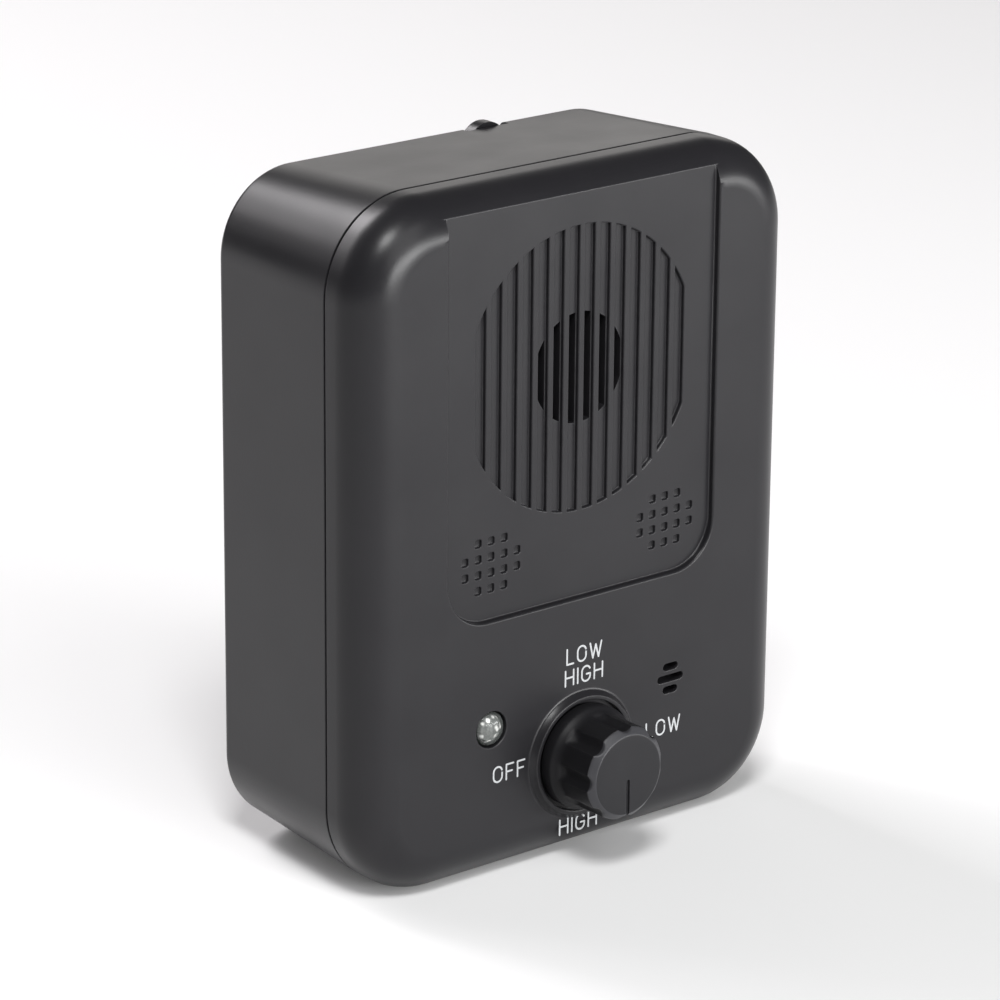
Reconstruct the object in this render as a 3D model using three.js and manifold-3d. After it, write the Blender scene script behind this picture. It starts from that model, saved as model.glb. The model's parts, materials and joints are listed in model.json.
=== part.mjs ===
// Ultrasonic pest repeller: a moulded case in two covers, with a slotted grille over an ultrasonic speaker,
// an indicator lamp, a microphone and a four-position rotary switch on its face, and a battery behind a
// door at the back. Lengths are in millimetres. X runs to the right seen from the front, Y to the back
// and Z up, and the origin is the middle of the flat foot that the case stands on.
import * as THREE from "three";
import { mergeVertices } from "three/addons/utils/BufferGeometryUtils.js";
import Module from "manifold-3d";

const wasm = await Module();
wasm.setup();

// ---- Driving sizes ----

// Case
const caseWidth = 77.4;
const caseHeight = 100;
const caseDepth = 35.1; // face to rear, without the knob
const caseWall = 2;
const cornerRadius = 13.5; // of the outline seen from the front
const frontFillet = 6.3; // where the sides roll into the face
const rearRounding = 1.3; // at the rim of the rear wall
const rearDraft = 1.6; // how far the sides lean in by the rear wall
const coverDepth = 8.4; // of the front cover, from the face to the parting line
const partingGap = 0.25;
const lipLength = 2; // tongue of the front cover inside the rear cover
const lipGap = 0.15;
const footHalfWidth = 24;
const footEndY = 12;

// Fastening of the two covers
const casePostSideInset = 9.2;
const casePostInset = 9; // of the posts from the top and the bottom
const frontPostRadius = 3;
const rearPostRadius = 3.6;
const caseScrewSeat = 3; // material under each head
const caseScrewGrip = 5; // thread in the front cover

// Grille
const grilleTopInset = 28; // of the grille's middle below the top of the case
const grilleRadius = 20.5;
const mouthRadius = 8; // within it the slots go right through
const slotCount = 14;
const slotPitch = 2.74;
const slotWidth = 1.7;
const slotDepth = 0.65;
const recessSideInset = 14.6;
const recessReach = 33.3; // of the recess below the grille's middle
const recessCorner = 7;
const recessDepth = 1;
const padMargin = 1; // thickened wall behind the recess, beyond its edge
const dimpleX = 15.8;
const dimpleDrop = 25.3; // of the dimples' middle below the grille's middle
const dimplePitch = 2.3;
const dimpleSize = 1.2;
const dimpleDepth = 0.5;
const dimpleRows = [3, 5, 5, 3];

// Speaker
const speakerFlangeRadius = 20.2;
const speakerCupRadius = 16.8;
const speakerCupDepth = 7.8;
const speakerFlange = 1.5;
const speakerWall = 1.2;
const gasketWidth = 3.3;
const gasketThickness = 1;
const coneThickness = 0.6;
const coneHubRadius = 4;
const piezoRadius = 7;
const piezoThickness = 0.6;
const speakerPostOffset = 2.3; // post centre beyond the flange's rim
const speakerPostRadius = 2;
const speakerPostAngles = [90, 210, 330];

// Circuit board
const boardWidth = 50;
const boardLowZ = 4.5;
const boardHighZ = 35.5;
const boardThickness = 1.6;
const boardCorner = 1.5;
const boardStandOff = 9.55; // from the inside of the face
const boardPostInset = 3.5;
const boardPostRadius = 2.4;

// What stands on the back of the board: places are x and z, lengths stand back from the board
const chipPlace = [-6, 23.5];
const chipWidth = 18;
const chipHeight = 6.4;
const chipThickness = 3.2;
const chipLift = 0.6;
const chipLegs = 7; // pairs
const chipLegWidth = 0.5;
const chipLegReach = 0.7; // of each leg beyond the body
const coilPlace = [13, 12];
const coilRadius = 6;
const coilCoreRadius = 2.6;
const coilLength = 10;
const coilFlange = 1.5;
const windingRadius = 5.2;
const capacitorCans = [
  { place: [-17, 11], radius: 3.15, length: 11 },
  { place: [-8, 11], radius: 2.5, length: 9 },
  { place: [19, 26], radius: 3.15, length: 11 },
];
const canGroove = 0.3; // depth of the rolled groove and of the rounded end
const transistorPlace = [3.3, 6.8];
const transistorWidth = 4.6;
const transistorDepth = 3.6;
const transistorLength = 4.6;
const resistorPlace = [7.65, 24.5];
const resistorLength = 6.3;
const resistorWidth = 2.2;
const resistorPitch = 3.2;

// Rotary switch and its knob
const switchMargin = 0.7; // between the switch and the rolled edge under it
const collarRadius = 9.4;
const collarTopRadius = 8.9;
const collarHeight = 1;
const collarGap = 0.5; // between the collar and the knob's skirt
const bushingRadius = 4;
const bushingStandOut = 2.9;
const shaftRadius = 3;
const shaftClearance = 0.1;
const shaftFlat = 0.9; // depth of the D flat
const switchRadius = 8.2;
const switchDepth = 7.5;
const switchWall = 1.6;
const switchBaseThickness = 1;
const switchPinCount = 5;
const switchPinCircle = 5.5;
const rotorThickness = 3.2;
const washerThickness = 0.4;
const nutThickness = 2;
const nutAcrossFlats = 11;
const skirtRadius = 7.7; // of the knob's foot
const knobHeight = 10.4; // of the knob's top above the face
const knobFloat = 0.5; // of its skirt above the face
const gripRadius = 6.9;
const knobBevel = 1;
const knobBevelHeight = 0.9;
const skirtHeight = 2.4;
const gripStart = 4.2; // where the flare from the skirt ends
const flareRadius = 7.15; // of the knob halfway up the flare
const knobWall = 0.95;
const knobNutGap = 0.7; // above the bushing, inside the knob
const knobTopWall = 1.6; // above the bore for the shaft
const fluteCount = 8;
const fluteRadius = 1.6;
const fluteDepth = 0.65;
const pointerWidth = 0.6;
const pointerDepth = 0.4;
const pointerStart = 0.8;

// Lamp and microphone
const sideFeatureZ = 22.7;
const lampX = -16.3;
const lampRadius = 2.5;
const lampHoleGap = 0.2;
const lampStandOut = 0.6; // of the lens's tip in front of the face
const lampDome = 1.4; // height of the lens's rounded end
const lampLength = 8.6;
const lampFlange = 1;
const lampFlangeRadius = 2.9;
const legPitch = 2.54; // of the legs of everything on the board
const legRadius = 0.3;
const micX = 16.65;
const micRadius = 3;
const micLength = 5;
const micBootWall = 0.9;
const micSlotPitch = 1.75;
const micSlotWidth = 1.1;
const micSlotLengths = [2.75, 4.8, 2.75];

// Battery, its compartment and door
const batteryX = 9;
const batteryWidth = 26.5;
const batteryThickness = 17.5;
const batteryHeight = 46.4;
const batteryCorner = 2;
const batteryRearGap = 1.65; // to the inside of the door, filled by the foam
const batterySlack = 0.75; // at each side
const batteryFrontSlack = 0.3;
const studSpacing = 12.7;
const studHeight = 2.6;
const studRadius = 2.8;
const crownRadius = 3.8;
const baySkin = 1.2;
const leadSlotHalf = 3; // half the width of the leads' way out of the bay
const bayTopInset = 4.5;
const bayHeight = 58;
const baySill = 3.5; // of the bay's floor below the door's opening
const doorGap = 0.25;
const latchRadius = 3.5;
const latchCrown = 0.75; // how far the latch's crown stands above the case's rear rim
const latchSlit = 0.8;
const latchSlitLength = 7;
const hookWidth = 4;
const hookThickness = 1;
const hookReach = 1.5;
const hookInset = 5;
const foamThickness = 1.4;
const foamInset = 5; // of the foam from the door's lower edge and the battery's upper end
const gripHalfLength = 5;
const gripWidth = 0.8;
const gripDepth = 0.5;
const gripPitch = 1.6;
const gripRows = 3;
const snapCapThickness = 3.2;
const snapCapInset = 1; // from the battery's narrow sides
const snapCapMargin = 3; // from its broad sides

// Leads
const wireRadius = 0.7;
const wireSteps = 18;
const leadPairGap = 1.3; // of each lead from the middle of its pair
const speakerLeadX = -13.6;
const leadDrop = 4.5; // of the first and the last bend of each lead
const leadBend = 7.5; // above the bay's floor, where the leads start to lean towards the board

// Keyholes for hanging
const keyholeSideInset = 9.2;
const keyholeTopInset = 26;
const keyholeRadius = 3.7;
const keyholeSlotRadius = 1.9;
const keyholeRise = 8;
const keyholePocket = 3.6;
const keyholePocketWall = 1;

// Common clearances and steps
const seat = 0.05; // between pieces that bear on each other
const screwFit = 0.05;
const holeFit = 0.15;
const blend = 0.3; // how far joined bodies run into each other
const through = 5; // how far a cut runs past what it cuts
const cornerSteps = 6;
const filletSteps = 4;
const roundSteps = 24;
const smallSteps = 10;
const legSteps = 6;

// ---- Planes and places worked out from them ----

const faceY = -caseDepth / 2;
const rearY = caseDepth / 2;
const innerFaceY = faceY + caseWall;
const innerRearY = rearY - caseWall;
const partingY = faceY + coverDepth;
const rearCoverY = partingY + partingGap;
const recessY = faceY + recessDepth;
const padY = innerFaceY + recessDepth; // the wall behind the recess keeps its thickness
const boardY = innerFaceY + boardStandOff;
const boardBackY = boardY + boardThickness;
const flangeY = padY + seat + gasketThickness + seat;
const flangeBackY = flangeY + speakerFlange;
const padTopY = boardBackY + seat + wireRadius; // of a lead's end on the board
const batteryBackY = innerRearY - batteryRearGap;
const batteryFrontY = batteryBackY - batteryThickness;
const batteryY = (batteryFrontY + batteryBackY) / 2;
const bayHalfWidth = batteryWidth / 2 + batterySlack;
const bayFrontY = batteryFrontY - batteryFrontSlack;
const grilleZ = caseHeight - grilleTopInset;
const recessHalfWidth = caseWidth / 2 - recessSideInset;
const recessLowZ = grilleZ - recessReach;
const dimpleZ = grilleZ - dimpleDrop;
const switchZ = frontFillet + switchMargin + switchRadius;
const bayHighZ = caseHeight - bayTopInset;
const bayLowZ = bayHighZ - bayHeight;
const doorLowZ = bayLowZ + baySill;
const batteryLowZ = bayLowZ + batteryFrontSlack;
const batteryHighZ = batteryLowZ + batteryHeight;
const leadBendZ = bayLowZ + leadBend;
const keyholeX = caseWidth / 2 - keyholeSideInset;
const keyholeZ = caseHeight - keyholeTopInset;
const casePostX = caseWidth / 2 - casePostSideInset;
const casePosts = [
  [-casePostX, casePostInset],
  [casePostX, casePostInset],
  [-casePostX, caseHeight - casePostInset],
  [casePostX, caseHeight - casePostInset],
];
const boardPostX = boardWidth / 2 - boardPostInset;
const boardPosts = [
  [-boardPostX, boardLowZ + boardPostInset],
  [boardPostX, boardLowZ + boardPostInset],
  [-boardPostX, boardHighZ - boardPostInset],
  [boardPostX, boardHighZ - boardPostInset],
];
const speakerPosts = speakerPostAngles.map((degrees) => {
  const angle = THREE.MathUtils.degToRad(degrees);
  const reach = speakerFlangeRadius + speakerPostOffset;
  return [reach * Math.cos(angle), grilleZ + reach * Math.sin(angle)];
});
const collarBore = skirtRadius + collarGap;
const shaftStandOut = knobHeight - knobTopWall - blend;
const caseScrew = { head: 2.6, headHeight: 1.8, shank: 1.25 };
const speakerScrew = { head: 2.7, headHeight: 1.4, shank: 1.1 };
const boardScrew = { head: 2, headHeight: 1.2, shank: 0.9 };
const crossLength = 0.6; // parts of a screw head's radius
const crossWidth = 0.12;
const headCrown = 0.8;
const crossDepth = 0.55; // parts of a screw head's height
const headEdge = 0.3;

// ---- Finishes ----

function finish(color, roughness, metalness = 0) {
  return new THREE.MeshStandardMaterial({ color, roughness, metalness });
}

const finishes = {
  case: () => finish(0x3b3b3e, 0.45),
  knob: () => finish(0x1c1c1f, 0.4),
  steel: () => finish(0xa9abb0, 0.35, 1),
  tin: () => finish(0xc6c8cc, 0.3, 1),
  darkPlastic: () => finish(0x151517, 0.5),
  cone: () => finish(0x26262a, 0.7),
  brass: () => finish(0xc8a24a, 0.35, 1),
  copper: () => finish(0xb5653a, 0.35, 1),
  foam: () => finish(0x2a2a2c, 0.95),
  rubber: () => finish(0x18181a, 0.85),
  board: () => finish(0x1f5a34, 0.45),
  clear: () => finish(0xe6e8ec, 0.1),
  ferrite: () => finish(0x33343a, 0.6),
  sleeve: () => finish(0x20306a, 0.4),
  resistor: () => finish(0xc9a878, 0.6),
  battery: () => finish(0x2d3036, 0.35),
  red: () => finish(0xa02020, 0.5),
  black: () => finish(0x111113, 0.5),
};

// ---- Solids ----

// Turns a closed geometry into a solid, with shared corners merged and slivers left out.
function solid(geometry) {
  const bare = geometry.index ? geometry.toNonIndexed() : geometry.clone();
  bare.deleteAttribute("normal");
  bare.deleteAttribute("uv");
  const merged = mergeVertices(bare);
  const corners = merged.index.array;
  const kept = [];
  for (let i = 0; i < corners.length; i += 3) {
    const [a, b, c] = [corners[i], corners[i + 1], corners[i + 2]];
    if (a !== b && b !== c && c !== a) kept.push(a, b, c);
  }
  const vertProperties = merged.attributes.position.array;
  const triVerts = new Uint32Array(kept);
  return new wasm.Manifold(new wasm.Mesh({ numProp: 3, vertProperties, triVerts }));
}

// The mesh of a finished solid, under its own name.
function piece(name, body, material) {
  const { vertProperties, triVerts } = body.getMesh();
  const geometry = new THREE.BufferGeometry();
  geometry.setAttribute("position", new THREE.BufferAttribute(vertProperties, 3));
  geometry.setIndex(new THREE.BufferAttribute(triVerts, 1));
  geometry.computeVertexNormals();
  const mesh = new THREE.Mesh(geometry, material());
  mesh.name = name;
  return mesh;
}

function joined(bodies) {
  return bodies.reduce((sum, body) => sum.add(body));
}

function block([x0, x1], [y0, y1], [z0, z1]) {
  const geometry = new THREE.BoxGeometry(x1 - x0, y1 - y0, z1 - z0);
  return solid(geometry.translate((x0 + x1) / 2, (y0 + y1) / 2, (z0 + z1) / 2));
}

// A body turned about an axis along Y, from a closed outline of [radius, y].
function turned(outline, x = 0, z = 0, steps = roundSteps) {
  const area = outline.reduce((sum, [r, y], i) => {
    const [nextR, nextY] = outline[(i + 1) % outline.length];
    return sum + r * nextY - nextR * y;
  }, 0);
  const points = (area > 0 ? outline : [...outline].reverse()).map(([r, y]) => new THREE.Vector2(r, y));
  const geometry = new THREE.LatheGeometry([...points, points[0]], steps);
  return solid(geometry.translate(x, 0, z));
}

function rod(radius, y0, y1, x = 0, z = 0, steps = roundSteps) {
  return turned([[0, y0], [radius, y0], [radius, y1], [0, y1]], x, z, steps);
}

function ring(inner, outer, y0, y1, x = 0, z = 0, steps = roundSteps) {
  return turned([[inner, y0], [outer, y0], [outer, y1], [inner, y1]], x, z, steps);
}

function upright(radius, z0, z1, x, y, steps = smallSteps) {
  const geometry = new THREE.CylinderGeometry(radius, radius, z1 - z0, steps);
  return solid(geometry.rotateX(Math.PI / 2).translate(x, y, (z0 + z1) / 2));
}

function roundedShape(x0, x1, y0, y1, radius) {
  const shape = new THREE.Shape();
  shape.moveTo(x0 + radius, y0);
  shape.absarc(x1 - radius, y0 + radius, radius, -Math.PI / 2, 0);
  shape.absarc(x1 - radius, y1 - radius, radius, 0, Math.PI / 2);
  shape.absarc(x0 + radius, y1 - radius, radius, Math.PI / 2, Math.PI);
  shape.absarc(x0 + radius, y0 + radius, radius, Math.PI, Math.PI * 1.5);
  return shape;
}

// A shape drawn in X and Z, as thick as from y0 to y1.
function slab(shape, y0, y1, curveSegments = 3) {
  const options = { depth: y1 - y0, bevelEnabled: false, curveSegments };
  const geometry = new THREE.ExtrudeGeometry(shape, options);
  return solid(geometry.rotateX(Math.PI / 2).translate(0, y1, 0));
}

// A shape drawn in X and Y, standing from z0 to z1.
function column(shape, z0, z1, curveSegments = 1) {
  const options = { depth: z1 - z0, bevelEnabled: false, curveSegments };
  return solid(new THREE.ExtrudeGeometry(shape, options).translate(0, 0, z0));
}

// An insulated wire along a smooth curve through points.
function wire(points) {
  const path = new THREE.CatmullRomCurve3(points.map((p) => new THREE.Vector3(...p)));
  const section = new THREE.Shape().absarc(0, 0, wireRadius, 0, Math.PI * 2);
  const options = { steps: wireSteps, extrudePath: path, curveSegments: 3, bevelEnabled: false };
  return solid(new THREE.ExtrudeGeometry(section, options));
}

// The case's outline drawn in by inset, anticlockwise seen from the front.
function outlineAt(inset) {
  const radius = Math.max(cornerRadius - inset, 1);
  const x = caseWidth / 2 - inset - radius;
  const low = inset + radius;
  const high = caseHeight - inset - radius;
  const centres = [[x, low], [x, high], [-x, high], [-x, low]];
  return centres.flatMap(([cx, cz], corner) =>
    Array.from({ length: cornerSteps + 1 }, (_, i) => {
      const angle = (corner - 1 + i / cornerSteps) * (Math.PI / 2);
      return [cx + radius * Math.cos(angle), cz + radius * Math.sin(angle)];
    }),
  );
}

// A body through case outlines that lie one behind the other: each section is [y, inset].
function loft(sections) {
  const rings = sections.map(([y, inset]) => outlineAt(inset).map(([x, z]) => [x, y, z]));
  const count = rings[0].length;
  const index = [];
  for (let i = 0; i < rings.length - 1; i++) {
    for (let j = 0; j < count; j++) {
      const [a, b] = [i * count + j, i * count + ((j + 1) % count)];
      index.push(a, a + count, b + count, a, b + count, b);
    }
  }
  const last = (rings.length - 1) * count;
  for (let j = 1; j < count - 1; j++) {
    index.push(0, j, j + 1);
    index.push(last, last + j + 1, last + j);
  }
  const geometry = new THREE.BufferGeometry();
  geometry.setAttribute("position", new THREE.Float32BufferAttribute(rings.flat(2), 3));
  geometry.setIndex(index);
  return solid(geometry);
}

// Sections of a rolled edge of the given radius that starts at y, moving in the direction of sign.
function rolledEdge(y, radius, inset, sign, steps) {
  return Array.from({ length: steps + 1 }, (_, i) => {
    const angle = (i / steps) * (Math.PI / 2);
    return [y + sign * radius * (1 - Math.cos(angle)), inset + radius * (1 - Math.sin(angle))];
  });
}

// The cross recess of a screw whose head ends at top.
function crossRecess({ head, headHeight }, x, top, z) {
  const [long, short] = [head * crossLength, head * crossWidth];
  const span = [top - headHeight * crossDepth, top + 1];
  const level = block([x - long, x + long], span, [z - short, z + short]);
  return level.add(block([x - short, x + short], span, [z - long, z + long]));
}

// A cross-slotted screw along Y with the head towards the back, its underside at y.
function screw(name, size, x, y, z, length) {
  const { head, headHeight, shank } = size;
  const top = y + headHeight;
  const outline = [
    [0, y - length],
    [shank, y - length + shank],
    [shank, y],
    [head, y],
    [head, top - headHeight * headEdge],
    [head * headCrown, top],
    [0, top],
  ];
  const body = turned(outline, x, z, smallSteps).subtract(crossRecess(size, x, top, z));
  return piece(name, body, finishes.steel);
}

// ---- Front cover ----

function frontShell() {
  const innerFillet = frontFillet - caseWall;
  const outside = loft([...rolledEdge(faceY, frontFillet, 0, 1, filletSteps), [partingY, 0]]);
  const inside = loft([
    ...rolledEdge(innerFaceY, innerFillet, caseWall, 1, filletSteps),
    [partingY + through, caseWall],
  ]);
  const lipSpan = [partingY - blend, partingY + lipLength];
  const lip = loft(lipSpan.map((y) => [y, caseWall / 2 + lipGap]));
  const lipHollow = loft([partingY - through, partingY + through].map((y) => [y, caseWall]));
  return outside.subtract(inside).add(lip.subtract(lipHollow));
}

function frontPosts() {
  const post = (radius, topY) => ([x, z]) => rod(radius, innerFaceY - blend, topY, x, z, smallSteps);
  return joined([
    ...casePosts.map(post(frontPostRadius, partingY)),
    ...boardPosts.map(post(boardPostRadius, boardY - seat)),
    ...speakerPosts.map(post(speakerPostRadius, flangeBackY - seat)),
  ]);
}

function pilotHoles() {
  const hole = ([x, z], screwSize, bottomY, topY) =>
    rod(screwSize.shank + screwFit, bottomY, topY + 1, x, z, smallSteps);
  return joined([
    ...casePosts.map((at) => hole(at, caseScrew, innerFaceY, partingY)),
    ...boardPosts.map((at) => hole(at, boardScrew, innerFaceY, boardY)),
    ...speakerPosts.map((at) => hole(at, speakerScrew, innerFaceY, flangeBackY)),
  ]);
}

// The recess is open at the top, where it runs out into the rolled edge.
function recessShape(grow) {
  const [x, z] = [recessHalfWidth + grow, recessLowZ - grow];
  return roundedShape(-x, x, z, caseHeight + recessCorner + through, recessCorner + grow);
}

function grillePad() {
  const top = caseHeight - frontFillet;
  const x = recessHalfWidth + padMargin;
  const shape = roundedShape(-x, x, recessLowZ - padMargin, top, recessCorner);
  return slab(shape, innerFaceY - blend, padY);
}

function slotBars() {
  const span = [grilleZ - grilleRadius - 1, grilleZ + grilleRadius + 1];
  return joined(
    Array.from({ length: slotCount }, (_, i) => {
      const x = (i - (slotCount - 1) / 2) * slotPitch;
      return block([x - slotWidth / 2, x + slotWidth / 2], [recessY - through, padY + 1], span);
    }),
  );
}

function grilleCuts() {
  const bars = slotBars();
  const blind = rod(grilleRadius, recessY - 2, recessY + slotDepth, 0, grilleZ, 2 * roundSteps);
  const mouth = rod(mouthRadius, recessY - 2, padY + 2, 0, grilleZ);
  return bars.intersect(blind.add(mouth));
}

function dimples() {
  const cuts = [];
  for (const side of [-1, 1]) {
    dimpleRows.forEach((count, row) => {
      const z = dimpleZ + ((dimpleRows.length - 1) / 2 - row) * dimplePitch;
      for (let i = 0; i < count; i++) {
        const x = side * dimpleX + (i - (count - 1) / 2) * dimplePitch;
        const half = dimpleSize / 2;
        cuts.push(block([x - half, x + half], [recessY - 1, recessY + dimpleDepth], [z - half, z + half]));
      }
    });
  }
  return joined(cuts);
}

function micSlots() {
  return joined(
    micSlotLengths.map((length, row) => {
      const z = sideFeatureZ + (1 - row) * micSlotPitch;
      const [halfLength, halfWidth] = [length / 2, micSlotWidth / 2];
      const ends = [micX - halfLength, micX + halfLength, z - halfWidth, z + halfWidth];
      return slab(roundedShape(...ends, halfWidth * 0.98), faceY - 1, innerFaceY + 1, 2);
    }),
  );
}

function frontCover() {
  const collar = turned(
    [
      [collarBore, faceY + blend],
      [collarRadius, faceY + blend],
      [collarRadius, faceY],
      [collarTopRadius, faceY - collarHeight],
      [collarBore, faceY - collarHeight],
    ],
    0,
    switchZ,
    roundSteps,
  );
  const recess = slab(recessShape(0), faceY - 1, recessY);
  const lampHole = rod(lampRadius + lampHoleGap, faceY - 1, innerFaceY + 1, lampX, sideFeatureZ);
  const bushingHole = rod(bushingRadius + holeFit, faceY - 1, innerFaceY + 1, 0, switchZ);
  const body = frontShell()
    .add(grillePad())
    .add(frontPosts())
    .add(collar)
    .subtract(recess)
    .subtract(grilleCuts())
    .subtract(dimples())
    .subtract(pilotHoles())
    .subtract(micSlots())
    .subtract(lampHole)
    .subtract(bushingHole);
  return piece("front_cover", body, finishes.case);
}

// ---- Rear cover ----

function rearShell() {
  const rim = rolledEdge(rearY, rearRounding, rearDraft, -1, 3).reverse();
  const outside = loft([[rearCoverY, 0], ...rim]);
  const inside = loft([
    [rearCoverY - 1, caseWall],
    [innerRearY, caseWall + rearDraft],
  ]);
  const rebate = loft([rearCoverY - 1, partingY + lipLength + lipGap].map((y) => [y, caseWall / 2]));
  return outside.subtract(inside).subtract(rebate);
}

function rearFoot() {
  const span = [partingY + lipLength + lipGap + blend, footEndY];
  return block([-footHalfWidth, footHalfWidth], span, [0, caseWall]);
}

function batteryBay() {
  const x = [batteryX - bayHalfWidth, batteryX + bayHalfWidth];
  const outerX = [x[0] - baySkin, x[1] + baySkin];
  const outerZ = [bayLowZ - baySkin, bayHighZ + baySkin];
  const outside = block(outerX, [bayFrontY - baySkin, innerRearY + blend], outerZ);
  const inside = block(x, [bayFrontY, innerRearY], [bayLowZ, bayHighZ]);
  const slotY = [batteryY - leadSlotHalf, batteryY + leadSlotHalf];
  const leadSlot = block([outerX[0] - 1, x[0] + 1], slotY, [batteryHighZ + 1, bayHighZ - baySkin]);
  return outside.subtract(inside).subtract(leadSlot);
}

function doorOpening() {
  const x = [batteryX - bayHalfWidth, batteryX + bayHalfWidth];
  const opening = block(x, [innerRearY - blend, rearY + 1], [doorLowZ, bayHighZ]);
  const notchHalf = latchRadius + doorGap;
  const notchX = [batteryX - notchHalf, batteryX + notchHalf];
  return opening.add(block(notchX, [innerRearY - doorGap, rearY + 1], [bayHighZ - 1, caseHeight + 1]));
}

function keyholeShape() {
  const shape = new THREE.Shape();
  const turn = Math.asin(keyholeSlotRadius / keyholeRadius);
  shape.absarc(0, 0, keyholeRadius, Math.PI / 2 + turn, Math.PI * 2.5 - turn);
  shape.absarc(0, keyholeRise, keyholeSlotRadius, 0, Math.PI);
  return shape;
}

function keyholePocketAt(x) {
  const half = keyholeRadius + keyholePocketWall;
  const z = [keyholeZ - half, keyholeZ + keyholeRise + keyholeSlotRadius + keyholePocketWall];
  const front = innerRearY - keyholePocket;
  const outside = block(
    [x - half - keyholePocketWall, x + half + keyholePocketWall],
    [front - keyholePocketWall, innerRearY + blend],
    [z[0] - keyholePocketWall, z[1] + keyholePocketWall],
  );
  return { outside, inside: block([x - half, x + half], [front, innerRearY], z) };
}

function rearCover() {
  const postHoles = [];
  const posts = casePosts.map(([x, z]) => {
    const seatY = rearCoverY + caseScrewSeat;
    postHoles.push(rod(caseScrew.head + holeFit, seatY, rearY + 1, x, z, smallSteps));
    postHoles.push(rod(caseScrew.shank + holeFit, rearCoverY - 1, rearY, x, z, smallSteps));
    return rod(rearPostRadius, rearCoverY, innerRearY + blend, x, z, smallSteps);
  });
  const pockets = [-keyholeX, keyholeX].map(keyholePocketAt);
  const keyhole = slab(keyholeShape(), innerRearY - 1, rearY + 1, 6);
  const body = rearShell()
    .add(rearFoot())
    .add(joined(posts))
    .add(joined(pockets.map((pocket) => pocket.outside)))
    .subtract(joined(pockets.map((pocket) => pocket.inside)))
    .add(batteryBay())
    .subtract(doorOpening())
    .subtract(joined(postHoles))
    .subtract(keyhole.translate([-keyholeX, 0, keyholeZ]))
    .subtract(keyhole.translate([keyholeX, 0, keyholeZ]));
  return piece("rear_cover", body, finishes.case);
}

// ---- Battery door ----

function latchTab(top) {
  const shape = new THREE.Shape();
  shape.moveTo(batteryX - latchRadius, top - latchRadius - latchSlitLength);
  shape.lineTo(batteryX + latchRadius, top - latchRadius - latchSlitLength);
  shape.absarc(batteryX, top - latchRadius, latchRadius, 0, Math.PI);
  return slab(shape, innerRearY, rearY, 5);
}

function batteryDoor() {
  const half = bayHalfWidth - doorGap;
  const x = [batteryX - half, batteryX + half];
  const z = [doorLowZ + doorGap, bayHighZ - doorGap];
  const plate = block(x, [innerRearY, rearY], z);
  const latchTop = caseHeight - rearDraft + latchCrown;
  const slits = [-1, 1].map((side) => {
    const middle = batteryX + side * (latchRadius + latchSlit / 2);
    const slitX = [middle - latchSlit / 2, middle + latchSlit / 2];
    return block(slitX, [innerRearY - 1, rearY + 1], [z[1] - latchSlitLength, z[1] + 1]);
  });
  const hooks = [-1, 1].map((side) => {
    const middle = batteryX + side * (half - hookInset);
    const hookX = [middle - hookWidth / 2, middle + hookWidth / 2];
    const outer = innerRearY - doorGap;
    const upper = z[0] + hookThickness;
    const hook = block(hookX, [outer - hookThickness, outer], [z[0] - hookReach, upper]);
    return hook.add(block(hookX, [outer - hookThickness, innerRearY + blend], [z[0] + blend, upper]));
  });
  const gripX = [batteryX - gripHalfLength, batteryX + gripHalfLength];
  const grips = Array.from({ length: gripRows }, (_, row) => {
    const high = z[1] - latchSlitLength - (row + 1) * gripPitch;
    return block(gripX, [rearY - gripDepth, rearY + 1], [high - gripWidth, high]);
  });
  const body = plate
    .subtract(joined(slits))
    .add(latchTab(latchTop))
    .add(joined(hooks))
    .subtract(joined(grips));
  return piece("battery_door", body, finishes.case);
}

function doorFoam() {
  const half = bayHalfWidth - doorGap - hookInset;
  const back = innerRearY - seat;
  const z = [doorLowZ + foamInset, batteryHighZ - foamInset];
  const body = block([batteryX - half, batteryX + half], [back - foamThickness, back], z);
  return piece("door_foam", body, finishes.foam);
}

// ---- Speaker ----

function speaker() {
  const gasketY = padY + seat;
  const cupBackY = flangeY + speakerCupDepth;
  const bore = speakerCupRadius - speakerWall;
  const basket = turned(
    [
      [0, cupBackY],
      [speakerCupRadius, cupBackY],
      [speakerCupRadius, flangeBackY],
      [speakerFlangeRadius, flangeBackY],
      [speakerFlangeRadius, flangeY],
      [bore, flangeY],
      [bore, cupBackY - speakerWall],
      [0, cupBackY - speakerWall],
    ],
    0,
    grilleZ,
    roundSteps,
  );
  const rimRadius = bore - blend;
  const hubY = cupBackY - speakerWall - piezoThickness - 2 * blend;
  const cone = turned(
    [
      [0, hubY - coneThickness],
      [coneHubRadius, hubY - coneThickness],
      [rimRadius - coneThickness, flangeY + blend],
      [rimRadius, flangeY + blend],
      [rimRadius, flangeY + blend + coneThickness],
      [coneHubRadius, hubY],
      [0, hubY],
    ],
    0,
    grilleZ,
    roundSteps,
  );
  const gasket = ring(
    speakerFlangeRadius - gasketWidth,
    speakerFlangeRadius - seat,
    gasketY,
    gasketY + gasketThickness,
    0,
    grilleZ,
  );
  const piezo = rod(piezoRadius, hubY + seat, hubY + seat + piezoThickness, 0, grilleZ);
  return [
    piece("speaker_basket", basket, finishes.darkPlastic),
    piece("speaker_cone", cone, finishes.cone),
    piece("speaker_gasket", gasket, finishes.foam),
    piece("speaker_piezo_disc", piezo, finishes.brass),
    ...speakerPosts.map(([x, z], i) =>
      screw(`speaker_screw_${i + 1}`, speakerScrew, x, flangeBackY + seat, z, flangeBackY - innerFaceY - 1),
    ),
  ];
}

// ---- Circuit board and what is on it ----

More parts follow.
